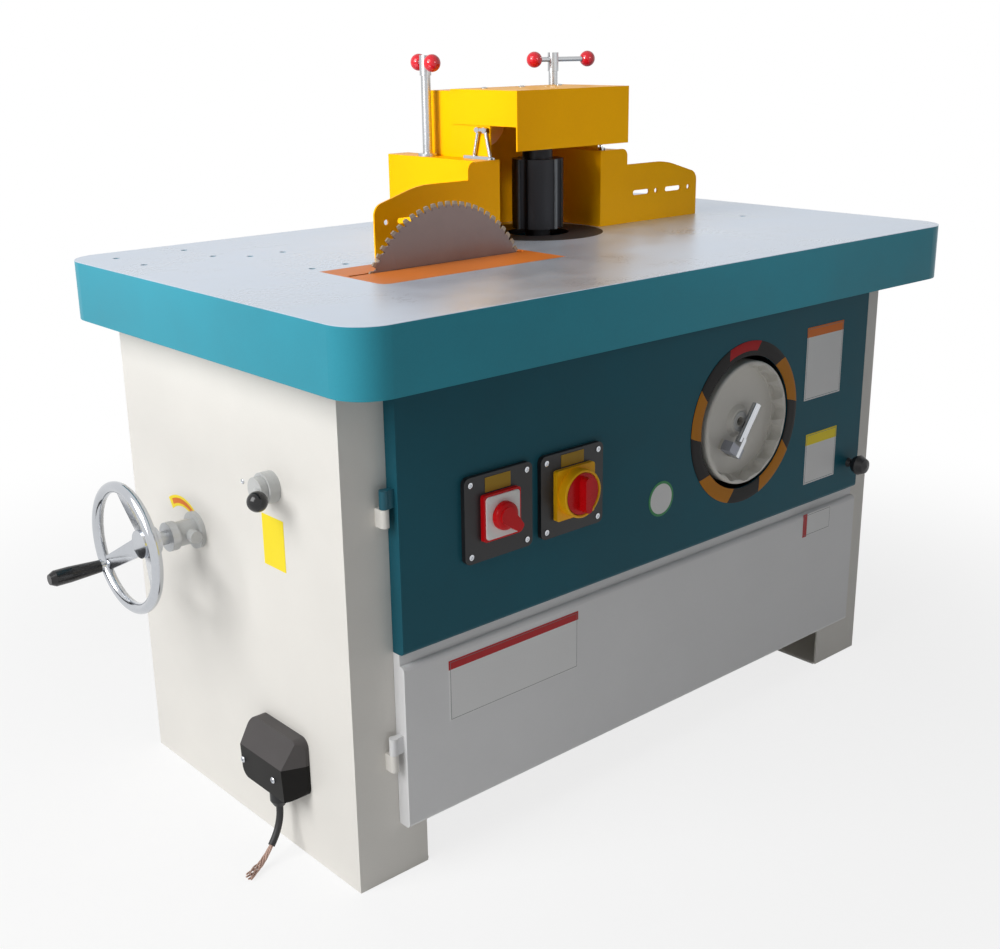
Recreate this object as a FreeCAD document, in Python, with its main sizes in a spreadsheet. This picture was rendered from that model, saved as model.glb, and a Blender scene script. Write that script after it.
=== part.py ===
import FreeCAD, Part
import math
import os
import re

import Sketcher

# Spindle moulder with a saw blade through its table, in millimetres.
# +X runs along the table, +Y from the front to the back, +Z up, and the floor is at zero.

SIZES = {
    # Work table
    "table_length": 1200, "table_width": 724, "table_height": 779, "table_skirt": 85, "table_plate": 20,
    "table_wall": 12, "table_corner": 52,
    # Tapped holes for a power feeder and for a guard
    "feeder_x": -489, "feeder_y": 260, "feeder_span_x": 110, "feeder_span_y": 85, "feeder_hole": 5,
    "guard_x": -368, "guard_y": 97, "guard_span_x": 56, "guard_span_y": 160, "guard_hole": 5,
    "stop_x": 448, "stop_y": -54,
    # Sheet cabinet
    "cabinet_length": 1118, "cabinet_depth": 548, "cabinet_shift": 12, "cabinet_wall": 3,
    "foot_width": 114, "foot_height": 68, "floor_level": 80, "floor_plate": 4, "opening_inset": 94,
    "opening_base": 104, "opening_head": 22,
    # Door pans
    "door_left": 491, "door_right": 497, "door_base": 79, "door_head": 4, "door_depth": 22,
    "door_gap": 0.5, "door_sheet": 2, "fold_round": 7, "groove_base_drop": 465, "groove_head_drop": 449,
    "groove_depth": 9, "hinge_reach": 13, "hinge_radius": 6, "hinge_pin": 3, "hinge_length": 48,
    "hinge_gap": 0.4, "hinge_rise": 14, "hinge_drop": 249, "hinge_low": 191, "hinge_tab": 4.5,
    "pull_x": 470, "pull_drop": 399, "pull_radius": 17, "pull_stem": 6, "pull_length": 14,
    "pull_shoulder": 13.6, "pull_crown": 12, "pull_bulge": 8.5, "pull_head": 20.4, "pull_dome": 23.8,
    # Switches on the door
    "plate_side": 118, "plate_thick": 7, "plate_corner": 9, "switch_drop": 292, "selector_x": -332,
    "isolator_x": -198, "selector_side": 64, "isolator_side": 72, "base_thick": 7, "base_corner": 4,
    "collar_radius": 34, "collar_rim": 4, "collar_recess": 5, "collar_height": 13, "neck_radius": 24,
    "neck_gap": 0.5, "switch_back": 56, "switch_deep": 58, "knob_clear": 0.8, "knob_thick": 5,
    "grip_width": 13, "grip_length": 50, "grip_height": 15, "pointer_height": 11, "grip_round": 5.9,
    "selector_lean": -46, "pointer_head": 14, "pointer_round": 11, "pointer_tip": 6, "pointer_reach": 31,
    "pointer_end": 5, "knob_gap": 0.3, "knob_pin": 5, "knob_pin_length": 8, "running_gap": 0.05,
    # Front handwheel and its shaft
    "wheel_x": 183, "wheel_drop": 272, "wheel_radius": 97, "wheel_proud": 5, "wheel_hole_gap": 8,
    "dish_back": 14, "rim_band": 7, "rim_round": 3, "dish_wall": 6, "web_thick": 8, "web_back": 12,
    "hub_radius": 20, "hub_length": 26, "hub_socket": 7, "hub_socket_depth": 8, "scallop_count": 16,
    "scallop_radius": 16, "scallop_ring": 77, "shaft_radius": 12.5, "pivot_radius": 47.5, "pivot_block": 16,
    "pivot_height": 16, "pivot_pin": 3, "pivot_angle": 245, "handle_lean": 35, "eye_width": 8,
    "eye_gap": 0.3, "ear_thick": 4, "cheek_thick": 20, "front_grip_radius": 7,
    "front_grip_length": 82, "bracket_width": 80, "bracket_thick": 12, "bracket_setback": 32,
    "bracket_foot": 45, "boss_radius": 30, "boss_length": 50,
    # Mitre gears and lift screws
    "mitre_outer": 22, "mitre_inner": 11, "mitre_gap": 0.6, "screw_radius": 10, "screw_gap": 0.08,
    "nut_radius": 22,
    # Spindle and cutter
    "spindle_x": 71, "spindle_y": 63, "spindle_radius": 17.5, "spindle_rise": 135, "cutter_base": 8,
    "cutter_radius": 41, "cutter_height": 108, "flute_radius": 8, "knife_proud": 2.5, "knife_thick": 4,
    "knife_deep": 16, "knife_gap": 0.1, "collar_outer": 20, "nut_outer": 24, "nut_height": 14,
    "ring_radius": 105, "ring_hole": 50, "ring_thick": 8, "table_bore": 90, "seat_gap": 0.3,
    "quill_radius": 55, "quill_drop": 89, "quill_length": 230, "bearing_outer": 36, "bearing_width": 17,
    "bearing_inset": 6, "lift_gap": 0.08, "guide_y": 150, "guide_span": 160, "guide_radius": 14,
    "guide_plate": 20, "guide_drop": 429, "yoke_thick": 20, "yoke_overhang": 30, "yoke_depth": 40,
    "spindle_port": 62, "plate_front": 0, "plate_back": 190, "plate_wide": 214, "screw_y": 30, "lobe": 22,
    "slide_drop": 259, "slide_height": 135, "slide_ring": 75, "slide_block_depth": 70, "arm_thick": 15,
    "arm_depth": 126, "motor_offset": 270, "motor_radius": 95, "motor_length": 190, "fin_depth": 6,
    "fin_width": 8, "motor_shaft": 14, "pulley_drop": 379, "pulley_height": 40, "pulley_flange": 5,
    "spindle_pulley": 35, "motor_pulley": 50, "belt_thick": 5, "belt_gap": 0.3,
    # Saw
    "blade_x": -230, "blade_y": -72, "blade_radius": 150, "blade_rise": 84, "blade_thick": 3.2,
    "blade_teeth": 72, "gullet_depth": 9, "gullet_width": 8.2, "heel_depth": 6, "heel_width": 4.6,
    "arbor_radius": 15, "arbor_flange": 35, "flange_thick": 8, "arbor_end": 12, "insert_left": 404,
    "insert_right": 80, "insert_front": -156, "insert_back": -12, "insert_thick": 8, "insert_corner": 14,
    "insert_ledge": 10, "slot_margin": 5.5, "slot_width": 7, "housing_radius": 32, "housing_length": 125,
    "saw_pulley_gap": 15, "saw_pulley_width": 25, "arbor_pulley": 30, "saw_motor_pulley": 45,
    "saw_motor_drop": 263, "saw_motor_radius": 75, "saw_motor_length": 160, "saw_foot": 18,
    "saw_foot_wide": 100, "saw_pad": 12, "saw_motor_shaft": 12, "saw_motor_gap": 30, "saw_stem_inset": 96,
    "column_x": -345, "column_y": 15, "column_span": 90, "column_radius": 12, "column_plate": 20,
    "column_wide": 60, "column_drop": 317, "carriage_drop": 219, "carriage_height": 100,
    "carriage_wide": 60, "carriage_margin": 22, "web_y": 0, "saw_web": 30, "web_wide": 130,
    "web_clear": 4,
    # Side handwheel
    "side_y": 103, "side_drop": 362, "side_boss_radius": 18, "side_boss_length": 35,
    "side_flange_radius": 27, "side_flange": 6, "stub_radius": 9, "stub_length": 31,
    "side_shaft_radius": 10, "side_standoff": 108, "side_radius": 86, "side_rim": 8,
    "side_hub_radius": 20, "side_hub_length": 26, "side_dish": 18, "spoke_root": 28, "spoke_tip": 20,
    "spoke_thick": 7, "spoke_angle": -32, "spoke_count": 3, "clutch_radius": 21, "clutch_length": 12,
    "grip_seat": 9, "side_grip_length": 75, "side_grip_neck": 9, "side_grip_radius": 11.5,
    "side_grip_swell": 45, "grip_pin": 5, "grip_end": 4,
    # Lock lever
    "lever_y": -109, "lever_fall": 246, "lever_boss_radius": 21, "lever_boss_length": 16,
    "lever_hub_radius": 17, "lever_hub_length": 10, "lever_arm_radius": 6, "lever_reach": 30,
    "lever_out": 20, "lever_drop": 4, "lever_ball": 13.5, "lever_pin": 7,
    # Inlet housing and cord
    "inlet_back": -40, "inlet_width": 116, "inlet_base": 98, "inlet_height": 88, "inlet_ridge": 49,
    "inlet_depth": 38, "inlet_toe": 36, "inlet_brow": 17, "inlet_corner": 14, "inlet_lip": 6,
    "inlet_bevel": 13, "gland_out": 23, "gland_y": -109, "gland_radius": 12.5, "gland_length": 14,
    "gland_nose": 8, "gland_nose_radius": 8, "cord_radius": 5,
    # Fence
    "fence_face": 30, "fence_sheet": 3, "fence_height": 122, "wing_length": 239, "gap_half": 110,
    "post_flat": 63, "wing_step": 26, "wing_tip": 72, "wing_bend": 95, "step_round": 12, "tip_round": 18,
    "bend_round": 160, "wing_box": 38, "wing_back": 255, "slot_height": 48.5, "slot_first": 82,
    "slot_long": 32, "slot_gap": 48, "slot_wide": 8, "plate_hole_first": 135, "plate_hole_pitch": 83,
    "hood_half": 116.5, "hood_front": 43, "hood_back": 190, "hood_rise": 99, "hood_sheet": 2,
    "apron_clear": 1.5, "port_radius": 46, "port_length": 50, "port_wall": 2, "visor_front": -21,
    "visor_gap": 0.5, "visor_sheet": 2.5, "visor_back": 132, "visor_lip": 87, "visor_side": 52,
    "clamp_offset": 137, "clamp_y": 170, "clamp_radius": 7.5, "clamp_hole_gap": 0.5, "clamp_rise": 244,
    "clamp_hub": 9, "clamp_hub_height": 30, "bar_radius": 4, "bar_length": 106, "bar_drop": 11,
    "bar_slide": 16, "knob_ball": 13, "left_bar_angle": 62.6, "right_bar_angle": -11, "table_slot": 9,
    "slot_travel": 45, "clamp_nut": 15, "clamp_nut_height": 14, "clamp_gap": 0.3, "washer_height": 4,
    "latch_y": 58, "latch_long": 48, "latch_foot": 19, "latch_stud": 8, "latch_plate": 3, "latch_deep": 8,
    "latch_rise": 43, "latch_wire": 1.6, "latch_pin": 4.5, "overrun": 2, "match_gap": 0.002,
}

doc = FreeCAD.newDocument("spindle_moulder")
sheet = doc.addObject("Spreadsheet::Sheet", "sizes")
for row, (alias, size) in enumerate(SIZES.items(), start=1):
    sheet.set(f"A{row}", str(size))
    sheet.setAlias(f"A{row}", alias)
doc.recompute()

# Places that several pieces share, as formulas of the sheet's sizes
SIDE_REACH = "(cabinet_length/2 + side_standoff + grip_seat + side_grip_length)"
MIDDLE = f"(({SIDE_REACH} - table_length/2)/2)"
PLATE_UNDER = "(table_height - table_plate)"
CABINET_TOP = "(table_height - table_skirt)"
FRONT = "(cabinet_shift - cabinet_depth/2)"
BACK = "(cabinet_shift + cabinet_depth/2)"
LEFT = "(-cabinet_length/2)"
DOOR_FACE = f"({FRONT} - door_gap - door_depth)"
DOOR_TOP = f"({CABINET_TOP} - door_head)"
ARBOR_Z = "(table_height + blade_rise - blade_radius)"
FENCE_TOP = "(table_height + fence_height)"
HOOD_TOP = f"({FENCE_TOP} + hood_rise)"
SCREW_X = "wheel_x"
# Levels that keep their drop below the table's top
LEVELS = {
    "wheel_z": "table_height - wheel_drop",
    "switch_z": "table_height - switch_drop",
    "hinge_high": "table_height - hinge_drop",
    "quill_top": "table_height - quill_drop",
    "slide_low": "table_height - slide_drop",
    "guide_low": "table_height - guide_drop",
    "pulley_level": "table_height - pulley_drop",
    "carriage_low": "table_height - carriage_drop",
    "column_low": "table_height - column_drop",
    "side_z": "table_height - side_drop",
    "lever_z": "table_height - lever_fall",
    "groove_base": "table_height - groove_base_drop",
    "groove_head": "table_height - groove_head_drop",
    "pull_z": "table_height - pull_drop",
}
# How much of the shorter run beside a bend of the cord its arc takes up
ARC_SHARE = 0.45

TURNS = {
    "z": FreeCAD.Rotation(),
    "-z": FreeCAD.Rotation(FreeCAD.Vector(1, 0, 0), 180),
    "x": FreeCAD.Rotation(FreeCAD.Vector(0, 1, 0), 90),
    "-x": FreeCAD.Rotation(FreeCAD.Vector(0, 1, 0), -90),
    "y": FreeCAD.Rotation(FreeCAD.Vector(1, 0, 0), -90),
    "-y": FreeCAD.Rotation(FreeCAD.Vector(1, 0, 0), 90),
}
nodes = []


def formula(text):
    """A formula with its levels worked out and every size's name led by the sheet's."""
    for level, drop in LEVELS.items():
        text = re.sub(rf"\b{level}\b", f"({drop})", text)
    return re.sub(r"\b[a-z_][a-z_0-9]*\b(?!\()", lambda name: "sizes." + name.group(), text)


def value(text):
    """What a formula comes to."""
    return float(sheet.evalExpression(formula(text)))


def bind(obj, prop, text):
    obj.setExpression(prop, formula(text))


def place(obj, at, turn=TURNS["z"]):
    """Stands an object at a place measured from the table's middle, on the floor."""
    obj.Placement = FreeCAD.Placement(FreeCAD.Vector(), turn)
    bind(obj, "Placement.Base.x", f"{MIDDLE} + {at[0]}")
    bind(obj, "Placement.Base.y", at[1])
    bind(obj, "Placement.Base.z", at[2])
    return obj


def primitive(kind, sizes, at, turn=TURNS["z"]):
    obj = doc.addObject("Part::" + kind, kind.lower())
    for prop, text in sizes.items():
        bind(obj, prop, text)
    return place(obj, at, turn)


def box(length, width, height, at):
    return primitive("Box", {"Length": length, "Width": width, "Height": height}, at)


def span(low, high):
    """A box from its lowest corner to its highest."""
    return box(*(f"({b}) - ({a})" for a, b in zip(low, high)), low)


def rod(radius, length, at, along="z"):
    return primitive("Cylinder", {"Radius": radius, "Height": length}, at, TURNS[along])


def cone(start, end, length, at, along="z"):
    return primitive("Cone", {"Radius1": start, "Radius2": end, "Height": length}, at, TURNS[along])


def sphere(radius, at, turn=TURNS["z"]):
    return primitive("Sphere", {"Radius": radius}, at, turn)


def fuse(*pieces):
    obj = doc.addObject("Part::MultiFuse", "fuse")
    obj.Shapes = list(pieces)
    return obj


def cut(base, *tools):
    obj = doc.addObject("Part::Cut", "cut")
    obj.Base = base
    obj.Tool = tools[0] if len(tools) == 1 else fuse(*tools)
    return obj


def common(first, second):
    obj = doc.addObject("Part::Common", "common")
    obj.Base = first
    obj.Tool = second
    return obj


def group(*pieces):
    """Separate solids that share one node."""
    obj = doc.addObject("Part::Compound", "group")
    obj.Links = list(pieces)
    return obj


def node(name, obj):
    obj.Label = name
    nodes.append(obj)
    return obj


def drawing(body, plane, points):
    """A closed outline of straight lines whose every corner is held by two formulas."""
    sketch = body.newObject("Sketcher::SketchObject", "outline")
    origin = [f for f in body.Origin.OriginFeatures if f.Role == plane + "_Plane"][0]
    sketch.AttachmentSupport = [(origin, "")]
    sketch.MapMode = "FlatFace"
    corners = [FreeCAD.Vector(value(p[0]), value(p[1]), 0) for p in points]
    for i, start in enumerate(corners):
        sketch.addGeometry(Part.LineSegment(start, corners[(i + 1) % len(corners)]))
    for i, (start, point) in enumerate(zip(corners, points)):
        sketch.addConstraint(Sketcher.Constraint("Coincident", i, 2, (i + 1) % len(corners), 1))
        for kind, size, text in (("DistanceX", start.x, point[0]), ("DistanceY", start.y, point[1])):
            held = sketch.addConstraint(Sketcher.Constraint(kind, -1, 1, i, 1, size))
            bind(sketch, f"Constraints[{held}]", text)
    return sketch


def rounded(body, plane, points):
    """Rounds the corners of a padded outline that name a radius."""
    across = {"XY": (0, 1), "XZ": (0, 2), "YZ": (1, 2)}[plane]
    for radius in sorted({p[2] for p in points if len(p) > 2}):
        doc.recompute()
        want = [(value(p[0]), value(p[1])) for p in points if p[2:] == (radius,)]
        names = []
        for i, edge in enumerate(body.Tip.Shape.Edges, start=1):
            ends = [(v.Point[across[0]], v.Point[across[1]]) for v in edge.Vertexes]
            if len(ends) == 2 and any(all(math.dist(e,
                                                    w) < value("match_gap") for e in ends) for w in want):
                names.append(f"Edge{i}")
        last = body.Tip
        fillet = body.newObject("PartDesign::Fillet", "rounding")
        fillet.Base = (last, names)
        bind(fillet, "Radius", radius)
        body.Tip = fillet


def slab(points, thickness, at, plane="XY", turn=TURNS["z"]):
    """An outline padded to a plate; a corner with a third value is rounded by it."""
    body = doc.addObject("PartDesign::Body", "slab")
    pad = body.newObject("PartDesign::Pad", "pad")
    pad.Profile = drawing(body, plane, points)
    bind(pad, "Length", thickness)
    body.Tip = pad
    rounded(body, plane, points)
    return place(body, at, turn)


def turned(points, at, along="z"):
    """An outline of (radius, height) corners turned about its own axis."""
    body = doc.addObject("PartDesign::Body", "turned")
    sketch = drawing(body, "XZ", points)
    spin = body.newObject("PartDesign::Revolution", "turning")
    spin.Profile = sketch
    spin.ReferenceAxis = (sketch, ["V_Axis"])
    spin.Angle = 360
    body.Tip = spin
    return place(body, at, TURNS[along])


def rectangle(wide, deep, radius):
    """The corners of a rounded rectangle about the outline's middle."""
    half = ((f"-{wide}/2", f"-{deep}/2"), (f"{wide}/2", f"-{deep}/2"),
            (f"{wide}/2", f"{deep}/2"), (f"-{wide}/2", f"{deep}/2"))
    return [(*corner, radius) for corner in half]


def sleeve(outer, inner, length, at, along="z"):
    """A plain ring or bush."""
    return turned([(inner, "0"), (outer, "0"), (outer, length), (inner, length)], at, along)


def pulley(radius, bore, height, at, along="z"):
    """A flat-belt pulley with a flange at each end."""
    flange = f"{radius} + pulley_flange"
    return turned([(bore, "0"), (flange, "0"), (radius, "pulley_flange"),
                   (radius, f"{height} - pulley_flange"), (flange, height), (bore, height)], at, along)


def belt(name, small, large, distance, height, at, turn):
    """A flat belt round two pulleys, the small one at its own origin and the large one along +X."""
    r1, r2 = value(small) + value("belt_gap"), value(large) + value("belt_gap")
    far, thick, tall = value(distance), value("belt_thick"), value(height)
    lean = math.asin((r2 - r1) / far)

    def loop(extra):
        a, b = r1 + extra, r2 + extra
        up = FreeCAD.Vector(-math.sin(lean), math.cos(lean), 0)
        down = FreeCAD.Vector(-math.sin(lean), -math.cos(lean), 0)
        end = FreeCAD.Vector(far, 0, 0)
        back, front = FreeCAD.Vector(-a, 0, 0), end + FreeCAD.Vector(b, 0, 0)
        edges = [Part.Arc(down * a, back, up * a), Part.LineSegment(up * a, end + up * b),
                 Part.Arc(end + up * b, front, end + down * b), Part.LineSegment(end + down * b,
                                                                                 down * a)]
        return Part.Face(Part.Wire([e.toShape() for e in edges])).extrude(FreeCAD.Vector(0, 0, tall))

    obj = doc.addObject("Part::Feature", "belt")
    obj.Shape = loop(thick).cut(loop(0))
    place(obj, at, turn)
    return node(name, obj)


def work_table():
    block = slab(rectangle("table_length", "table_width", "table_corner"), "table_skirt",
                 ("0", "0", CABINET_TOP))
    inner = slab(rectangle("(table_length - 2*table_wall)", "(table_width - 2*table_wall)",
                           "table_corner - table_wall"),
                 "table_skirt - table_plate", ("0", "0", CABINET_TOP))
    over = "table_plate + 2*overrun"
    under = f"{PLATE_UNDER} - overrun"
    tools = [inner]
    tools.append(rod("ring_radius + seat_gap", "ring_thick + overrun",
                     ("spindle_x", "spindle_y", "table_height - ring_thick")))
    tools.append(rod("table_bore", over, ("spindle_x", "spindle_y", under)))
    tools.append(insert_plate("seat_gap", "insert_thick + overrun", "table_height - insert_thick"))
    tools.append(span(("-insert_left + insert_ledge", "insert_front + insert_ledge", under),
                      ("-insert_right", "insert_back - insert_ledge", "table_height + overrun")))
    for side in ("-", "+"):
        post = f"spindle_x {side} clamp_offset"
        tools.append(span((f"{post} - table_slot", "clamp_y - slot_travel", under),
                          (f"{post} + table_slot", "clamp_y + slot_travel", "table_height + overrun")))
    for x, y, hole in table_holes():
        tools.append(rod(hole, over, (x, y, under)))
    node("work_table", cut(block, *tools))


def table_holes():
    """The places and radii of the tapped holes in the table."""
    places = [("stop_x", "stop_y", "guard_hole")]
    for name in ("feeder", "guard"):
        for sx in ("-", "+"):
            for sy in ("-", "+"):
                places.append((f"{name}_x {sx} {name}_span_x/2", f"{name}_y {sy} {name}_span_y/2",
                               f"{name}_hole"))
    return places


def insert_plate(grow, thickness, base):
    """The saw insert's outline, grown by a clearance, as a plate."""
    points = [(f"-insert_left - {grow}", f"insert_front - {grow}", f"insert_corner + {grow}"),
              (f"-insert_right + {grow}", f"insert_front - {grow}"),
              (f"-insert_right + {grow}", f"insert_back + {grow}"),
              (f"-insert_left - {grow}", f"insert_back + {grow}")]
    return slab(points, thickness, ("0", "0", base))


def table_inserts():
    base = ("spindle_x", "spindle_y", "table_height - ring_thick")
    node("spindle_ring", sleeve("ring_radius", "ring_hole", "ring_thick", base))
    plate = insert_plate("0", "insert_thick", "table_height - insert_thick")
    slot = span(("-insert_left + slot_margin", "blade_y - slot_width/2",
                 "table_height - insert_thick - overrun"),
                ("-insert_right - slot_margin", "blade_y + slot_width/2", "table_height + overrun"))
    node("saw_insert", cut(plate, slot))


def cabinet():
    inner_left, inner_right = f"{LEFT} + cabinet_wall", "cabinet_length/2 - cabinet_wall"
    inner_front, inner_back = f"{FRONT} + cabinet_wall", f"{BACK} - cabinet_wall"
    wall = span((LEFT, FRONT, "0"), (inner_left, BACK, PLATE_UNDER))
    bores = [rod("side_shaft_radius + seat_gap", "cabinet_wall + 2*overrun",
                 (f"{LEFT} - overrun", "side_y", "side_z"), "x"),
             rod("lever_pin + seat_gap", "cabinet_wall + 2*overrun",
                 (f"{LEFT} - overrun", "lever_y", "lever_z"), "x")]
    node("cabinet_left", cut(wall, *bores))
    node("cabinet_right", span((inner_right, FRONT, "0"), ("cabinet_length/2", BACK, PLATE_UNDER)))
    foot_in, foot_out = f"{LEFT} + foot_width", "cabinet_length/2 - foot_width"
    back = span((inner_left, inner_back, "0"), (inner_right, BACK, PLATE_UNDER))
    node("cabinet_back", cut(back, span((foot_in, f"{inner_back} - overrun", "-overrun"),
                                        (foot_out, f"{BACK} + overrun", "foot_height"))))
    front = span((inner_left, FRONT, "0"), (inner_right, inner_front, PLATE_UNDER))
    toe = span((foot_in, f"{FRONT} - overrun", "-overrun"),
               (foot_out, f"{inner_front} + overrun", "foot_height"))
    window = span((f"{LEFT} + opening_inset", f"{FRONT} - overrun", "opening_base"),
                  ("cabinet_length/2 - opening_inset", f"{inner_front} + overrun",
                   f"{CABINET_TOP} - opening_head"))
    node("cabinet_front", cut(front, toe, window))
    shelf = span((inner_left, inner_front, "floor_level - floor_plate"),
                 (inner_right, inner_back, "floor_level"))
    feet = []
    for x in (inner_left, f"{inner_right} - foot_width"):
        for y in (inner_front, f"{inner_back} - foot_width"):
            feet.append(box("foot_width", "foot_width", "floor_plate", (x, y, "0")))
    node("cabinet_floor", group(shelf, *feet))


def door():
    sides = ("-door_left", "door_right")
    inside = ("-door_left + door_sheet", "door_right - door_sheet")
    rear = f"{FRONT} - door_gap"

    def pan(base, head):
        """A pan open at the back, whose front edges are rounded by the fold."""
        def block(inset, back):
            near = f"{DOOR_FACE} + {inset}"
            low, high = f"{base} + {inset}", f"{head} - {inset}"
            bend = f"fold_round - {inset}"
            points = [(near, low, bend), (back, low), (back, high), (near, high, bend)]
            return slab(points, f"door_left + door_right - 2*{inset}",
                        (f"-door_left + {inset}", "0", "0"), "YZ")

        return cut(block("0", rear), block("door_sheet", f"{rear} + overrun"))

    through = "door_sheet + 2*overrun"
    start = f"{DOOR_FACE} - overrun"
    holes = [rod("wheel_radius + wheel_hole_gap", through, ("wheel_x", start, "wheel_z"), "y")]
    for x in ("selector_x", "isolator_x"):
        holes.append(rod("neck_radius + neck_gap", through, (x, start, "switch_z"), "y"))
    holes.append(rod("pull_stem + running_gap", through, ("pull_x", start, "pull_z"), "y"))
    node("door_upper", cut(pan("groove_head", DOOR_TOP), *holes))
    strip = span((sides[0], f"{DOOR_FACE} + groove_depth", "groove_base"),
                 (sides[1], rear, "groove_head"))
    strip_hollow = span((inside[0], f"{DOOR_FACE} + groove_depth + door_sheet", "groove_base - overrun"),
                        (inside[1], f"{rear} + overrun", "groove_head + overrun"))
    node("door_lower", fuse(pan("door_base", "groove_base"), cut(strip, strip_hollow)))
    node("door_pull", turned([("0", "-door_depth/2"), ("pull_stem", "-door_depth/2"), ("pull_stem", "0"),
                              ("pull_stem + door_sheet", "0"), ("pull_stem", "pull_length/2"),
                              ("pull_shoulder", "pull_length"), ("pull_radius",
                                                                 "pull_length + pull_bulge"),
                              ("pull_crown", "pull_length + pull_head"),
                              ("0", "pull_length + pull_dome")],
                             ("pull_x", DOOR_FACE, "pull_z"), "-y"))


def hinges():
    axis_x, axis_y = "(-door_left - hinge_reach)", f"({FRONT} - door_gap - door_depth/2)"
    fixed, leaves = [], []
    for middle in ("hinge_high", "hinge_low"):
        base = (axis_x, axis_y, f"{middle} - hinge_length/2")
        lower = fuse(rod("hinge_radius", "hinge_length/2", base),
                     rod("hinge_pin", "hinge_length/2 + hinge_rise", base),
                     span((f"{axis_x} - hinge_radius", axis_y, f"{middle} - hinge_length/2"),
                          (f"{axis_x} + hinge_tab", FRONT, middle)))
        upper_base = (axis_x, axis_y, f"{middle} + hinge_gap")
        barrel = fuse(rod("hinge_radius", "hinge_length/2", upper_base),
                      span((axis_x, f"{axis_y} - hinge_tab", f"{middle} + hinge_gap"),
                           ("-door_left", f"{axis_y} + hinge_tab",
                            f"{middle} + hinge_gap + hinge_length/2")))
        fixed.append(lower)
        leaves.append(cut(barrel, rod("hinge_pin + running_gap", "hinge_rise + hinge_gap",
                                      (axis_x, axis_y, middle))))
    node("hinge_brackets", group(*fixed))
    node("hinge_leaves", group(*leaves))


def switches():
    plates = []
    plate_front = f"({DOOR_FACE} - plate_thick)"
    base_front = f"({plate_front} - base_thick)"
    for x in ("selector_x", "isolator_x"):
        plate = slab(rectangle("plate_side", "plate_side", "plate_corner"), "plate_thick",
                     (x, DOOR_FACE, "switch_z"), "XZ")
        plates.append(cut(plate, rod("neck_radius + neck_gap", "plate_thick + 2*overrun",
                                     (x, f"{plate_front} - overrun", "switch_z"), "y")))
    node("switch_plates", group(*plates))
    bar = rectangle("grip_width", "grip_length", "grip_round")
    for name, x, extra in (("selector", "selector_x", None), ("isolator", "isolator_x", "collar_height")):
        face = slab(rectangle(f"{name}_side", f"{name}_side", "base_corner"), "base_thick",
                    (x, plate_front, "switch_z"), "XZ")
        neck = rod("neck_radius", "base_thick/2 + plate_thick + door_sheet + overrun",
                   (x, f"{plate_front} - base_thick/2", "switch_z"), "y")
        block = span((f"{x} - switch_back/2", f"{DOOR_FACE} + door_sheet", "switch_z - switch_back/2"),
                     (f"{x} + switch_back/2", f"{DOOR_FACE} + door_sheet + switch_deep",
                      "switch_z + switch_back/2"))
        pieces = [face, neck, block]
        seat, hollows = base_front, []
        if extra:
            front = f"({base_front} - {extra})"
            pieces.append(rod("collar_radius", f"{extra} + base_thick/2", (x, front, "switch_z"), "y"))
            hollows.append(rod("collar_radius - collar_rim", "collar_recess + overrun",
                               (x, f"{front} - overrun", "switch_z"), "y"))
            seat = f"({front} + collar_recess)"
        hollows.append(rod("knob_pin + running_gap", "knob_pin_length + overrun",
                           (x, f"{seat} - overrun", "switch_z"), "y"))
        node(name + "_base", cut(fuse(*pieces), *hollows))
        if extra:
            switch_knob(name, x, f"({seat} - knob_gap)", "collar_radius - collar_rim - knob_clear",
                        bar, "grip_height")
        else:
            switch_knob(name, x, f"({seat} - knob_gap)", "pointer_head", pointer(), "pointer_height",
                        SIZES["selector_lean"])


def pointer():
    """The selector's tapered grip, which points down until it is turned."""
    return [("-pointer_head", "pointer_head", "pointer_round"),
            ("-pointer_tip", "-pointer_reach", "pointer_end"),
            ("pointer_tip", "-pointer_reach", "pointer_end"), ("pointer_head", "pointer_head",
                                                               "pointer_round")]


def switch_knob(name, x, back, radius, points, height, lean=0):
    """A round knob with a raised grip across it, turning on a pin in its base."""
    disc = rod(radius, "knob_thick", (x, f"{back} - knob_thick", "switch_z"), "y")
    pin = rod("knob_pin", "knob_pin_length + knob_thick/2", (x, f"{back} - knob_thick/2", "switch_z"),
              "y")
    grip = slab(points, height, (x, f"{back} - knob_thick/2", "switch_z"), "XZ",
                FreeCAD.Rotation(FreeCAD.Vector(0, 1, 0), lean))
    node(name + "_knob", fuse(disc, pin, grip))


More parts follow.
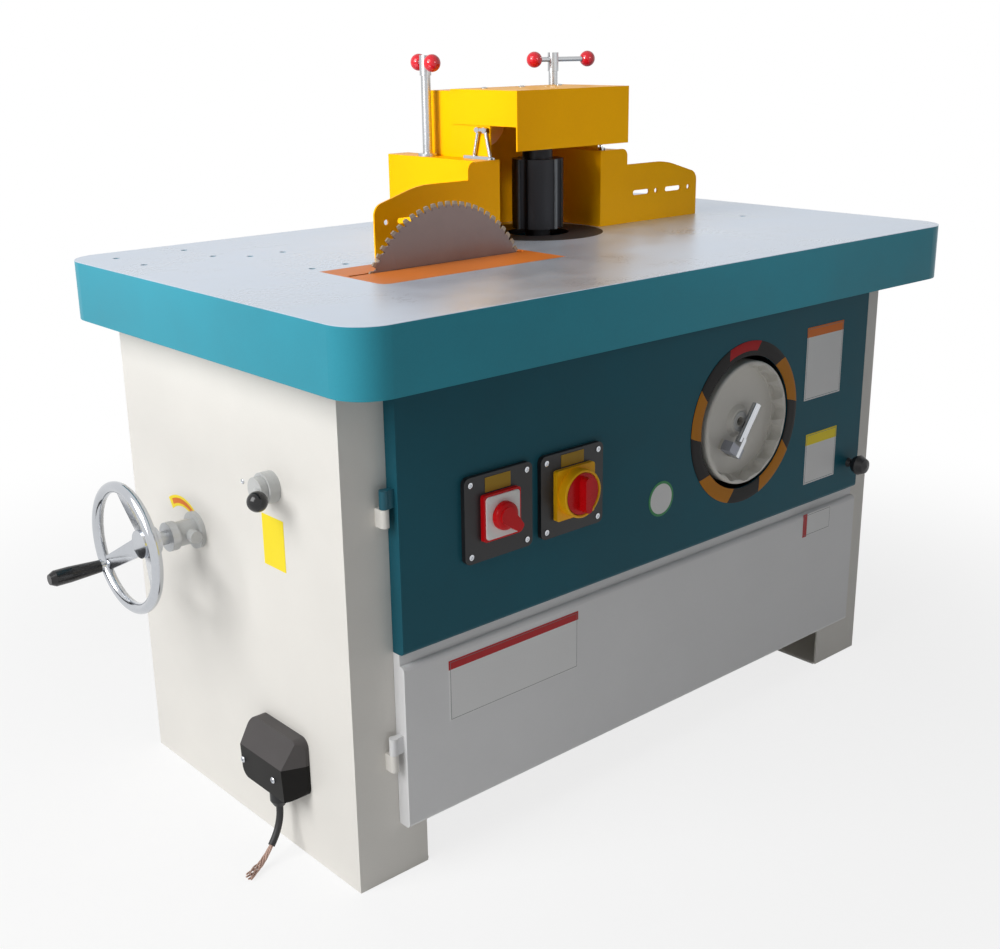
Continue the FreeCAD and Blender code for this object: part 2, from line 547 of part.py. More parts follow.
def front_wheel():
    face = f"({DOOR_FACE} - wheel_proud)"
    depth = "(wheel_proud + door_depth + dish_back)"
    back = f"({face} + {depth})"
    web = "(web_back + web_thick)"
    inner = "(wheel_radius - rim_band)"
    outline = [("shaft_radius", "0"), ("hub_radius", "0"), ("hub_radius", "web_back"),
               (f"{inner} - dish_wall*2", "web_back"), ("wheel_radius", "web_back + dish_wall"),
               ("wheel_radius", f"{depth} - rim_round"),
               ("wheel_radius - rim_round/3", f"{depth} - rim_round/3"), ("wheel_radius - rim_round", depth),
               (inner, depth), (f"{inner} - dish_wall", web), ("hub_radius + dish_wall", web),
               ("hub_radius", "hub_length"), ("hub_socket", "hub_length"), ("hub_socket",
                                                                            "hub_length - hub_socket_depth"),
               ("shaft_radius", "hub_length - hub_socket_depth")]
    scallops = []
    for number in range(SIZES["scallop_count"]):
        around = 2 * math.pi * number / SIZES["scallop_count"]
        scallops.append(rod("scallop_radius", f"{depth} - {web}",
                            (f"wheel_x + scallop_ring*({math.cos(around):.6f})", f"{face} - overrun",
                             f"wheel_z + scallop_ring*({math.sin(around):.6f})"), "y"))
    dish = cut(turned(outline, ("wheel_x", back, "wheel_z"), "-y"), *scallops)
    lean = FreeCAD.Rotation(FreeCAD.Vector(0, 1, 0), SIZES["handle_lean"])
    pivot = handle_pivot(f"({back} - {web} - pivot_height)")
    node("front_wheel", fuse(dish, *handle_clevis(pivot, lean)))
    tip = f"({back} - hub_length + hub_socket_depth)"
    end = "(screw_y - mitre_outer)"
    shaft = fuse(rod("shaft_radius", f"{end} - {tip}", ("wheel_x", tip, "wheel_z"), "y"),
                 cone("mitre_outer - mitre_gap", "mitre_inner - mitre_gap", "mitre_outer - mitre_inner",
                      ("wheel_x", end, "wheel_z"), "y"))
    node("front_shaft", shaft)
    front_handle(pivot, lean)


def front_handle(pivot, lean):
    """The folding handle: a grip on a flat eye that turns on the clevis's pin."""
    eye = leaning_box("eye_width", "2*front_grip_radius", "2*pivot_block",
                      ("-eye_width/2", "-front_grip_radius", "-pivot_block/2"),
                      pivot, lean)
    start = leaning(("0", "0", "pivot_block"), pivot, lean)
    grip = primitive("Cylinder", {"Radius": "front_grip_radius",
                                  "Height": "front_grip_length - pivot_block"}, start, lean)
    bore = primitive("Cylinder", {"Radius": "pivot_pin + running_gap", "Height": "2*pivot_block"},
                     leaning(("-pivot_block", "0", "0"), pivot, lean), lean.multiply(TURNS["x"]))
    node("front_handle", cut(fuse(eye, grip), bore))


def handle_clevis(pivot, lean):
    """A thin ear and a thick cheek on the dish, and the pin between them."""
    inner = "(eye_width/2 + eye_gap)"
    ears = []
    for low, thick in ((inner, "ear_thick"), (f"-{inner} - cheek_thick", "cheek_thick")):
        ears.append(leaning_box(thick, "pivot_height + overrun + pivot_pin + ear_thick",
                                "pivot_block",
                                (low, "-pivot_pin - ear_thick", "-pivot_block/2"), pivot, lean))
    pin = primitive("Cylinder", {"Radius": "pivot_pin", "Height": f"2*{inner}"},
                    leaning((f"-{inner}", "0", "0"), pivot, lean), lean.multiply(TURNS["x"]))
    return [*ears, pin]


def leaning(offset, pivot, lean):
    """A place given by formulas along the handle's own axes, from its pivot."""
    axes = [lean.multVec(FreeCAD.Vector(*unit)) for unit in ((1, 0, 0), (0, 1, 0), (0, 0, 1))]
    return tuple(f"{pivot[i]} + " + " + ".join(f"({text})*({axis[i]:.6f})" for text,
                                               axis in zip(offset, axes))
                 for i in range(3))


def leaning_box(length, width, height, low, pivot, lean):
    return primitive("Box", {"Length": length, "Width": width, "Height": height},
                     leaning(low, pivot, lean), lean)


def handle_pivot(y):
    """Where the folding handle is pinned, to the lower left of the hub."""
    lean = math.radians(SIZES["pivot_angle"])
    return (f"(wheel_x + pivot_radius*({math.cos(lean):.6f}))", y,
            f"(wheel_z + pivot_radius*({math.sin(lean):.6f}))")


def wheel_bracket():
    low_y = f"({FRONT} + bracket_setback)"
    plate = span(("wheel_x - bracket_width/2", low_y, "wheel_z - bracket_foot"),
                 ("wheel_x + bracket_width/2", f"{low_y} + bracket_thick", PLATE_UNDER))
    boss = rod("boss_radius", "boss_length", ("wheel_x", f"{low_y} - boss_length/4", "wheel_z"), "y")
    bore = rod("shaft_radius + running_gap", "boss_length*2",
               ("wheel_x", f"{low_y} - boss_length/2", "wheel_z"), "y")
    node("wheel_bracket", cut(fuse(plate, boss), bore))


def lift_screw(name, x, y, z, plate):
    """A vertical screw with its mitre gear, hung in the guide's top plate."""
    gear = cone("mitre_inner - mitre_gap", "mitre_outer - mitre_gap", "mitre_outer - mitre_inner",
                (x, y, f"{z} + mitre_inner"))
    stem = rod("screw_radius", f"{PLATE_UNDER} - {plate}/2 - ({z} + mitre_inner)",
               (x, y, f"{z} + mitre_inner"))
    node(name, fuse(gear, stem))


def spindle_guide():
    plate_base = f"{PLATE_UNDER} - guide_plate"
    plate = span(("spindle_x - plate_wide/2", "plate_front", plate_base),
                 ("spindle_x + plate_wide/2", "plate_back", PLATE_UNDER))
    lobe = span((f"{SCREW_X} - lobe", "screw_y - lobe", plate_base),
                (f"{SCREW_X} + lobe", "screw_y + lobe", PLATE_UNDER))
    port = rod("spindle_port", "guide_plate + 2*overrun",
               ("spindle_x", "spindle_y", f"{plate_base} - overrun"))
    bore = rod("screw_radius + screw_gap", "guide_plate + 2*overrun",
               (SCREW_X, "screw_y", f"{plate_base} - overrun"))
    yoke = span(("spindle_x - guide_span/2 - yoke_overhang", "guide_y - yoke_depth/2",
                 "guide_low - yoke_thick"),
                ("spindle_x + guide_span/2 + yoke_overhang", "guide_y + yoke_depth/2", "guide_low"))
    bars = [rod("guide_radius", f"{plate_base} - guide_low",
                (f"spindle_x {side} guide_span/2", "guide_y", "guide_low"))
            for side in ("-", "+")]
    node("spindle_guide", group(cut(fuse(plate, lobe), port, bore), yoke, *bars))


def spindle_slide():
    top = "(slide_low + slide_height)"
    ring = rod("slide_ring", "slide_height", ("spindle_x", "spindle_y", "slide_low"))
    block = span(("spindle_x - guide_span/2 - yoke_overhang", "guide_y - slide_block_depth/2",
                  "slide_low"),
                 ("spindle_x + guide_span/2 + yoke_overhang", "guide_y + slide_block_depth/2", top))
    arm = span(("spindle_x", "spindle_y - arm_depth/2", f"{top} - arm_thick"),
               ("spindle_x + motor_offset + motor_radius", "spindle_y + arm_depth/2", top))
    boss = rod("nut_radius", "arm_thick + nut_radius",
               (SCREW_X, "screw_y", f"{top} - arm_thick - nut_radius"))
    tall = "slide_height + 2*overrun"
    low = "slide_low - overrun"
    tools = [rod("quill_radius + lift_gap", tall, ("spindle_x", "spindle_y", low)),
             rod("screw_radius + screw_gap", tall, (SCREW_X, "screw_y", low))]
    for side in ("-", "+"):
        tools.append(rod("guide_radius + lift_gap", tall,
                         (f"spindle_x {side} guide_span/2", "guide_y", low)))
    node("spindle_slide", cut(fuse(ring, block, arm, boss), *tools))


def spindle():
    bottom = "(quill_top - quill_length)"
    axis = ("spindle_x", "spindle_y")
    inside = "(bearing_inset + bearing_width)"
    quill = turned([("bearing_outer", "0"), ("quill_radius", "0"), ("quill_radius", "quill_length"),
                    ("bearing_outer", "quill_length"), ("bearing_outer", f"quill_length - {inside}"),
                    ("collar_outer + overrun", f"quill_length - {inside}"),
                    ("collar_outer + overrun", inside),
                    ("bearing_outer", inside)], (*axis, bottom))
    node("spindle_quill", quill)
    bearings = [sleeve("bearing_outer", "spindle_radius + running_gap", "bearing_width", (*axis, level))
                for level in (f"{bottom} + bearing_inset", f"quill_top - {inside}")]
    node("spindle_bearings", group(*bearings))
    seat = "(table_height + cutter_base)"
    node("spindle_shaft", rod("spindle_radius", "table_height + spindle_rise - pulley_level",
                              (*axis, "pulley_level")))
    node("spindle_pulley", pulley("spindle_pulley", "spindle_radius", "pulley_height",
                                  (*axis, "pulley_level")))
    low = sleeve("collar_outer", "spindle_radius", f"{seat} - quill_top - overrun",
                 (*axis, "quill_top + overrun"))
    nut = sleeve("nut_outer", "spindle_radius", "nut_height", (*axis, f"{seat} + cutter_height"))
    node("spindle_collars", group(low, nut))
    block = sleeve("cutter_radius", "spindle_radius", "cutter_height", (*axis, seat))
    slots, knives = [], []
    for cosine, sine in ((1, 0), (0, 1), (-1, 0), (0, -1)):
        for grow, pieces in (("knife_gap", slots), ("0", knives)):
            near = f"(cutter_radius - knife_deep - {grow})"
            far = "(cutter_radius + knife_proud)"
            half = f"(knife_thick/2 + {grow})"
            turn = FreeCAD.Rotation(FreeCAD.Vector(0, 0, 1), math.degrees(math.atan2(sine, cosine)))
            at = (f"spindle_x + {cosine}*{near} + {sine}*{half}",
                  f"spindle_y + {sine}*{near} - {cosine}*{half}", seat)
            pieces.append(primitive("Box", {"Length": f"{far} - {near}", "Width": f"2*{half}",
                                            "Height": "cutter_height"}, at, turn))
        aside = "(knife_thick/2 + flute_radius)"
        slots.append(rod("flute_radius", "cutter_height + 2*overrun",
                         (f"spindle_x + {cosine}*cutter_radius - {sine}*{aside}",
                          f"spindle_y + {sine}*cutter_radius + {cosine}*{aside}", f"{seat} - overrun")))
    node("cutter_block", cut(block, *slots))
    node("cutter_knives", group(*knives))


def spindle_drive():
    axis = ("spindle_x + motor_offset", "spindle_y")
    top = "(slide_low + slide_height - arm_thick)"
    base = f"({top} - motor_length)"
    can = turned([("motor_shaft + running_gap", "0"), ("motor_radius - fin_depth", "0"),
                  ("motor_radius", "fin_width"),
                  ("motor_radius", "motor_length - fin_width"), ("motor_radius - fin_depth",
                                                                 "motor_length"),
                  ("motor_shaft + running_gap", "motor_length")], (*axis, base))
    node("spindle_motor", can)
    drum = pulley("motor_pulley", "motor_shaft", "pulley_height", (*axis, "pulley_level"))
    shaft = rod("motor_shaft", f"{base} + motor_length/2 - pulley_level", (*axis, "pulley_level"))
    node("motor_pulley", fuse(drum, shaft))
    belt("drive_belt", "spindle_pulley", "motor_pulley", "motor_offset",
         "pulley_height - 2*pulley_flange - 2*belt_gap",
         ("spindle_x", "spindle_y", "pulley_level + pulley_flange + belt_gap"), TURNS["z"])


def saw_blade():
    body = doc.addObject("PartDesign::Body", "blade")
    disc = body.newObject("PartDesign::Pad", "disc")
    sketch = body.newObject("Sketcher::SketchObject", "circles")
    origin = [f for f in body.Origin.OriginFeatures if f.Role == "XY_Plane"][0]
    sketch.AttachmentSupport = [(origin, "")]
    sketch.MapMode = "FlatFace"
    for i, size in enumerate(("blade_radius", "arbor_radius")):
        sketch.addGeometry(Part.Circle(FreeCAD.Vector(), FreeCAD.Vector(0, 0, 1), value(size)))
        sketch.addConstraint(Sketcher.Constraint("Coincident", i, 3, -1, 1))
        bind(sketch,
             f"Constraints[{sketch.addConstraint(Sketcher.Constraint('Radius', i, value(size)))}]", size)
    disc.Profile = sketch
    bind(disc, "Length", "blade_thick")
    body.Tip = disc
    doc.recompute()
    gullet = body.newObject("PartDesign::Pocket", "gullet")
    gullet.Profile = drawing(body, "XY", [("blade_radius - gullet_depth", "0"),
                                          ("blade_radius + overrun", "0"),
                                          ("blade_radius + overrun", "gullet_width"),
                                          ("blade_radius - heel_depth", "heel_width")])
    gullet.Type = "ThroughAll"
    gullet.Midplane = True
    teeth = body.newObject("PartDesign::PolarPattern", "teeth")
    teeth.Originals = [gullet]
    teeth.Axis = (sketch, ["N_Axis"])
    teeth.Angle = 360
    bind(teeth, "Occurrences", "blade_teeth")
    body.Tip = teeth
    place(body, ("blade_x", "blade_y + blade_thick/2", ARBOR_Z), TURNS["-y"])
    node("saw_blade", body)


def saw():
    saw_blade()
    side = "(blade_y + blade_thick/2)"
    housing_low = f"({side} + flange_thick + overrun)"
    housing_high = f"({housing_low} + housing_length)"
    pulley_low = f"({housing_high} + saw_pulley_gap)"
    pulley_high = f"({pulley_low} + saw_pulley_width)"
    nose = "(blade_y - blade_thick/2)"
    stem = rod("arbor_radius", f"{pulley_high} - {nose} + flange_thick + arbor_end",
               ("blade_x", f"{nose} - flange_thick - arbor_end", ARBOR_Z), "y")
    flanges = [rod("arbor_flange", "flange_thick", ("blade_x", y, ARBOR_Z),
                   "y") for y in (f"{nose} - flange_thick", side)]
    drum = pulley("arbor_pulley", "arbor_radius", "saw_pulley_width", ("blade_x", pulley_low, ARBOR_Z),
                  "y")
    node("saw_arbor", fuse(stem, *flanges, drum))
    motor_z = f"({ARBOR_Z} - saw_motor_drop)"
    motor_high = f"({pulley_low} - saw_motor_gap)"
    motor_low = f"({motor_high} - saw_motor_length)"
    saw_carriage(housing_low, motor_z, motor_low)
    can = rod("saw_motor_radius", "saw_motor_length", ("blade_x", motor_low, motor_z), "y")
    pad_base = f"({motor_z} + saw_motor_radius + saw_foot/2)"
    foot = span(("blade_x - saw_foot_wide/2", motor_low, motor_z),
                ("blade_x + saw_foot_wide/2", motor_high, pad_base))
    bore = rod("saw_motor_shaft + running_gap", "saw_motor_length",
               ("blade_x", f"{motor_low} + saw_motor_length/2", motor_z), "y")
    node("saw_motor", cut(fuse(can, foot), bore))
    motor_drum = pulley("saw_motor_pulley", "saw_motor_shaft", "saw_pulley_width",
                        ("blade_x", pulley_low, motor_z), "y")
    motor_stem = rod("saw_motor_shaft", f"{pulley_high} - ({motor_low} + saw_stem_inset)",
                     ("blade_x", f"{motor_low} + saw_stem_inset", motor_z), "y")
    node("saw_motor_drum", fuse(motor_drum, motor_stem))
    belt("saw_belt", "arbor_pulley", "saw_motor_pulley", "saw_motor_drop",
         "saw_pulley_width - 2*pulley_flange - 2*belt_gap",
         ("blade_x", f"{pulley_low} + pulley_flange + belt_gap", ARBOR_Z),
         TURNS["y"].multiply(FreeCAD.Rotation(FreeCAD.Vector(0, 0, 1), 90)))


def saw_carriage(housing_low, motor_z, motor_low):
    top = "(carriage_low + carriage_height)"
    rear = "(side_y + carriage_margin)"
    fore = "(column_y - column_span/2 - carriage_margin)"
    block = span(("column_x - carriage_wide/2", fore, "carriage_low"),
                 ("column_x + carriage_wide/2", rear, top))
    pad_base = f"({motor_z} + saw_motor_radius + saw_foot/2)"
    web = fuse(span(("column_x", "web_y", "carriage_low"),
                    ("column_x + web_wide", "web_y + saw_web", ARBOR_Z)),
               span(("column_x + column_wide/2 + web_clear", "web_y", pad_base),
                    ("column_x + web_wide", "web_y + saw_web", "carriage_low + saw_pad")))
    pad = span(("blade_x - saw_foot_wide/2", motor_low, pad_base),
               ("blade_x + saw_foot_wide/2", f"{motor_low} + saw_motor_length", f"{pad_base} + saw_pad"))
    tube = rod("housing_radius", "housing_length", ("blade_x", housing_low, ARBOR_Z), "y")
    tools = [rod("arbor_radius + running_gap", "housing_length + 2*overrun",
                 ("blade_x", f"{housing_low} - overrun", ARBOR_Z), "y"),
             rod("screw_radius + screw_gap", "carriage_height + 2*overrun",
                 ("column_x", "side_y", "carriage_low - overrun"))]
    for side in ("-", "+"):
        tools.append(rod("column_radius + lift_gap", "carriage_height + 2*overrun",
                         ("column_x", f"column_y {side} column_span/2", "carriage_low - overrun")))
    node("saw_carriage", cut(fuse(block, web, pad, tube), *tools))


def saw_guide():
    rear = "(side_y + carriage_margin)"
    fore = "(column_y - column_span/2 - carriage_margin)"
    plate_base = f"{PLATE_UNDER} - column_plate"
    plates = []
    for low, high in ((plate_base, PLATE_UNDER), ("column_low - column_plate", "column_low")):
        plate = span(("column_x - column_wide/2", fore, low), ("column_x + column_wide/2", rear, high))
        plates.append(cut(plate, rod("screw_radius + screw_gap", "column_plate + 2*overrun",
                                     ("column_x", "side_y", f"{low} - overrun"))))
    bars = [rod("column_radius", f"{plate_base} - column_low",
                ("column_x", f"column_y {side} column_span/2", "column_low"))
            for side in ("-", "+")]
    node("saw_guide", group(*plates, *bars))


def side_wheel():
    centre = ("side_y", "side_z")
    rim_x = f"({LEFT} - side_standoff)"
    hub_x = f"({rim_x} + side_dish)"
    rim = primitive("Torus", {"Radius1": "side_radius", "Radius2": "side_rim"}, (rim_x, *centre),
                    TURNS["x"])
    hub = rod("side_hub_radius", "side_hub_length", (hub_x, *centre), "x")
    spokes = []
    reach, rise = value("side_radius"), value("side_dish") + value("side_hub_length") / 2
    length = "sqrt(side_radius^2 + (side_dish + side_hub_length/2)^2)"
    outline = [("0", "-spoke_root/2"), (length, "-spoke_tip/2"), (length, "spoke_tip/2"),
               ("0", "spoke_root/2")]
    for number in range(SIZES["spoke_count"]):
        lean = math.radians(SIZES["spoke_angle"] + 360 * number / SIZES["spoke_count"])
        way = FreeCAD.Vector(-rise, reach * math.cos(lean), reach * math.sin(lean)).normalize()
        across = FreeCAD.Vector(0, -math.sin(lean), math.cos(lean))
        out = way.cross(across)
        at = (f"{hub_x} + side_hub_length/2 - spoke_thick/2*({out.x:.4f})",
              f"side_y - spoke_thick/2*({out.y:.4f})", f"side_z - spoke_thick/2*({out.z:.4f})")
        spokes.append(slab(outline, "spoke_thick", at, "XY", FreeCAD.Rotation(way, across, out, "XYZ")))
    gy, gz = grip_place()
    boss = rod("side_rim", "grip_seat", (rim_x, gy, gz), "-x")
    bore = rod("side_shaft_radius", "side_hub_length + overrun",
               (f"{hub_x} + side_hub_length/3", *centre), "x")
    pin_bore = rod("grip_pin + running_gap", "grip_seat + side_rim", (rim_x, gy, gz), "-x")
    node("side_wheel", cut(fuse(rim, hub, boss, *spokes), bore, pin_bore))
    start = f"({hub_x} + side_hub_length/3)"
    end = "(column_x - mitre_outer)"
    shaft = rod("side_shaft_radius", f"{end} - {start}", (start, *centre), "x")
    gear = cone("mitre_outer - mitre_gap", "mitre_inner - mitre_gap", "mitre_outer - mitre_inner",
                (end, *centre), "x")
    clutch = rod("clutch_radius", "clutch_length",
                 (f"{LEFT} - side_boss_length - clutch_length - hinge_gap", *centre), "x")
    node("side_shaft", fuse(shaft, gear, clutch))
    node("side_grip", turned([("0", "-grip_seat/2"), ("grip_pin", "-grip_seat/2"),
                              ("grip_pin", "hinge_gap"),
                              ("side_grip_neck", "hinge_gap"), ("side_grip_radius", "side_grip_swell"),
                              ("side_grip_radius", "side_grip_length - 2*grip_end"),
                              ("side_grip_radius - grip_end", "side_grip_length"), ("0",
                                                                                    "side_grip_length")],
                             (f"{rim_x} - grip_seat", gy, gz), "-x"))


def grip_place():
    """Where the revolving grip stands on the side wheel's rim, in line with the first spoke."""
    lean = math.radians(SIZES["spoke_angle"])
    return (f"(side_y + side_radius*{math.cos(lean):.4f})",
            f"(side_z + side_radius*{math.sin(lean):.4f})")


def side_fittings():
    centre = (LEFT, "side_y", "side_z")
    stub = rod("stub_radius", "stub_length", (f"{LEFT} - side_boss_length/2", "side_y", "side_z"), "-y")
    boss = cut(fuse(rod("side_boss_radius", "side_boss_length", centre, "-x"),
                    rod("side_flange_radius", "side_flange", centre, "-x"), stub),
               rod("side_shaft_radius + running_gap", "side_boss_length + 2*overrun",
                   (f"{LEFT} + overrun", "side_y", "side_z"), "-x"))
    lever_boss = sleeve("lever_boss_radius", "lever_pin + running_gap", "lever_boss_length",
                        (LEFT, "lever_y", "lever_z"), "-x")
    node("side_bosses", group(boss, lever_boss))
    hub_x = f"({LEFT} - lever_boss_length - hinge_gap)"
    hub = rod("lever_hub_radius", "lever_hub_length", (hub_x, "lever_y", "lever_z"), "-x")
    pin = rod("lever_pin", "lever_boss_length + hinge_gap + cabinet_wall + lever_hub_length",
              (f"{LEFT} + cabinet_wall", "lever_y", "lever_z"), "-x")
    way = FreeCAD.Vector(-value("lever_out"), -value("lever_reach"), -value("lever_drop"))
    arm = primitive("Cylinder", {"Radius": "lever_arm_radius",
                                 "Height": "sqrt(lever_out^2 + lever_reach^2 + lever_drop^2)"},
                    (f"{hub_x} - lever_hub_length/2", "lever_y", "lever_z"),
                    FreeCAD.Rotation(FreeCAD.Vector(0, 0, 1), way))
    knob = sphere("lever_ball", (f"{hub_x} - lever_hub_length/2 - lever_out", "lever_y - lever_reach",
                                 "lever_z - lever_drop"))
    node("lock_lever", fuse(hub, pin, arm, knob))


def inlet():
    points = [("0", "0"), ("-inlet_toe", "0"), ("-inlet_depth", "inlet_ridge"),
              ("-inlet_brow", "inlet_height"), ("0", "inlet_height")]
    wedge = slab(points, "inlet_width", (LEFT, "inlet_back", "inlet_base"), "XZ")
    front, back = "inlet_back - inlet_width", "inlet_back"
    low, high = "inlet_base", "inlet_base + inlet_height"
    corners = [(y, z, "inlet_corner") for y,
               z in ((front, low), (back, low), (back, high), (front, high))]
    outline = slab(corners, "inlet_depth + 2*overrun", (f"{LEFT} - inlet_depth - overrun", "0", "0"),
                   "YZ")
    plan = [("0", front), ("-inlet_lip", front), ("-inlet_depth", f"{front} + inlet_bevel"),
            ("-inlet_depth", back), ("0", back)]
    bevelled = slab(plan, "inlet_height", (LEFT, "0", "inlet_base"))
    node("inlet_housing", common(common(wedge, outline), bevelled))
    exit_x = f"({LEFT} - gland_out)"
    node("cable_gland", turned([("0", "0"), ("gland_nose_radius", "0"), ("gland_radius", "gland_nose"),
                                ("gland_radius", "gland_nose + gland_length"), ("0",
                                                                                "gland_nose + gland_length")],
                               (exit_x, "gland_y", "inlet_base - gland_nose - gland_length")))
    supply_cord(value(f"{MIDDLE} + {exit_x}"), value("gland_y"),
                value("inlet_base - gland_nose - gland_length"))


def supply_cord(x, y, z):
    """The cord hangs from the gland and leans away from the panel, in straight runs and tangent arcs."""
    route = [(0, 0, 0), (0, 0, -12), (-2.4, -0.8, -23.7), (-7, -2.4, -34.7), (-13.6, -4.7, -44.4),
             (-22, -7.6, -52.4)]
    points = [FreeCAD.Vector(x + a, y + b, z + c) for a, b, c in route]
    edges, start, length = [], points[0], 0.0
    for before, corner, after in zip(points, points[1:], points[2:]):
        come, leave = (corner - before).normalize(), (after - corner).normalize()
        turn = come.getAngle(leave)
        shorter = min((corner - before).Length, (after - corner).Length)
        reach = ARC_SHARE * shorter
        radius = reach / math.tan(turn / 2)
        enter, out = corner - come * reach, corner + leave * reach
        inward = (leave - come).normalize()
        middle = corner + inward * (radius / math.cos(turn / 2) - radius)
        edges += [Part.LineSegment(start, enter).toShape(), Part.Arc(enter, middle, out).toShape()]
        length += (enter - start).Length + radius * turn
        print(f"cord arc radius {radius:.1f}")
        start = out
    edges.append(Part.LineSegment(start, points[-1]).toShape())
    length += (points[-1] - start).Length
    section = Part.Wire(Part.makeCircle(value("cord_radius"), points[0], FreeCAD.Vector(0, 0, -1)))
    tube = Part.Wire(edges).makePipeShell([section], True, False)
    ideal = math.pi * value("cord_radius") ** 2 * length
    print(f"cord volume over section times length {tube.Volume / ideal:.4f}")
    obj = doc.addObject("Part::Feature", "cord")
    obj.Shape = tube
    node("supply_cord", obj)


def fence_wing(name, side):
    """One wing: a faced plate with its slots, on a folded box; side is -1 left of the gap, 1 right."""
    gap = f"(spindle_x + {side}*gap_half)"
    far = f"({gap} + {side}*wing_length)"
    low = "(fence_height - wing_step)"
    points = [(gap, "0"), (gap, "fence_height"),
              (f"{gap} + {side}*post_flat", "fence_height", "step_round"),
              (f"{gap} + {side}*post_flat", low), (f"{gap} + {side}*(post_flat + wing_bend)", low,
                                                   "bend_round"),
              (far, "wing_tip", "tip_round"), (far, "0")]
    back = "(fence_face + fence_sheet)"
    plate = slab(points, "fence_sheet", ("0", back, "table_height"), "XZ")
    holes = []
    for first in ("slot_first", "slot_first + slot_long + slot_gap"):
        ends = [f"{gap} + {side}*({first})", f"{gap} + {side}*({first} + slot_long)"]
        for end in ends:
            holes.append(rod("slot_wide/2", "fence_sheet + 2*overrun",
                             (end, "fence_face - overrun", "table_height + slot_height"), "y"))
        a, b = ends if side > 0 else ends[::-1]
        holes.append(span((a, "fence_face - overrun", "table_height + slot_height - slot_wide/2"),
                          (b, f"{back} + overrun", "table_height + slot_height + slot_wide/2")))
    for reach in ("plate_hole_first", "plate_hole_first + plate_hole_pitch"):
        holes.append(rod("slot_wide/2", "fence_sheet + 2*overrun",
                         (f"{gap} + {side}*({reach})", "fence_face - overrun",
                          "table_height + slot_height"), "y"))
    faced = cut(plate, *holes)

    def wall(start, end, y0, y1, z0, z1):
        a, b = (start, end) if side > 0 else (end, start)
        return span((f"{gap} + {side}*({a})", y0, z0), (f"{gap} + {side}*({b})", y1, z1))

    inner = wall("0", "fence_sheet", back, "wing_back", "table_height", FENCE_TOP)
    outer = wall("wing_box", "wing_box + fence_sheet", back, "wing_back", "table_height", FENCE_TOP)
    lid = wall("fence_sheet", "wing_box", back, "wing_back", f"{FENCE_TOP} - fence_sheet", FENCE_TOP)
    hole = rod("clamp_radius + clamp_hole_gap", "fence_sheet + 2*overrun",
               (f"spindle_x + {side}*clamp_offset", "clamp_y", f"{FENCE_TOP} - fence_sheet - overrun"))
    node(name, cut(fuse(faced, inner, outer, lid), hole))


def fence_hood():
    left, right = "(spindle_x - hood_half)", "(spindle_x + hood_half)"
    shell = span((left, "hood_front", FENCE_TOP), (right, "hood_back", HOOD_TOP))
    hollow = span((f"{left} + hood_sheet", "hood_front - overrun", f"{FENCE_TOP} - overrun"),
                  (f"{right} - hood_sheet", "hood_back - hood_sheet", f"{HOOD_TOP} - hood_sheet"))
    apron = span(("spindle_x - gap_half + apron_clear", "hood_back - hood_sheet", "table_height"),
                 ("spindle_x + gap_half - apron_clear", "hood_back", f"{FENCE_TOP} + hood_sheet"))
    middle = f"{FENCE_TOP} + hood_rise/2"
    spigot = rod("port_radius", "port_length", ("spindle_x", "hood_back - hood_sheet", middle), "y")
    bore = rod("port_radius - port_wall", "port_length + 2*overrun",
               ("spindle_x", "hood_back - hood_sheet - overrun", middle), "y")
    node("fence_hood", cut(fuse(cut(shell, hollow), apron, spigot), bore))
    left, right = "(spindle_x - hood_half - visor_gap)", "(spindle_x + hood_half + visor_gap)"
    under = f"({HOOD_TOP} + visor_gap)"
    top = f"({under} + visor_sheet)"
    lid = span((f"{left} - visor_sheet", "visor_front", under),
               (f"{right} + visor_sheet", "visor_back", top))
    cheeks = [span((a, "visor_front", f"{top} - visor_side"), (b, "visor_back", top))
              for a, b in ((f"{left} - visor_sheet", left), (right, f"{right} + visor_sheet"))]
    brow = span((f"{left} - visor_sheet", "visor_front", f"{top} - visor_lip"),
                (f"{right} + visor_sheet", "visor_front + visor_sheet", top))
    node("visor", fuse(lid, *cheeks, brow))


def latches():
    """A toggle latch on each side: a lever on the wing, a wire bail and two studs on the hood."""
    pieces = []
    for side, outwards in ((-1, "-x"), (1, "x")):
        wall = f"(spindle_x + {side}*hood_half)"
        out = f"({wall} + {side}*latch_deep)"
        a, b = (wall, out) if side > 0 else (out, wall)
        lever = span((a, "latch_y - latch_long/2", FENCE_TOP),
                     (b, "latch_y + latch_long/2", f"{FENCE_TOP} + latch_plate"))
        bail = []
        for way in (-1, 1):
            top = f"{FENCE_TOP} + latch_rise"
            bail.append(rod("latch_pin", "latch_deep", (wall, f"latch_y + {way}*latch_stud", top),
                            outwards))
            rise = FreeCAD.Vector(0, way * (value("latch_stud") - value("latch_foot")),
                                  value("latch_rise - latch_plate/2"))
            length = "sqrt((latch_foot - latch_stud)^2 + (latch_rise - latch_plate/2)^2)"
            bail.append(primitive("Cylinder", {"Radius": "latch_wire", "Height": length},
                                  (f"{wall} + {side}*latch_deep/2", f"latch_y + {way}*latch_foot",
                                   f"{FENCE_TOP} + latch_plate/2"),
                                  FreeCAD.Rotation(FreeCAD.Vector(0, 0, 1), rise)))
        pieces.append(fuse(lever, *bail))
    node("hood_latches", group(*pieces))


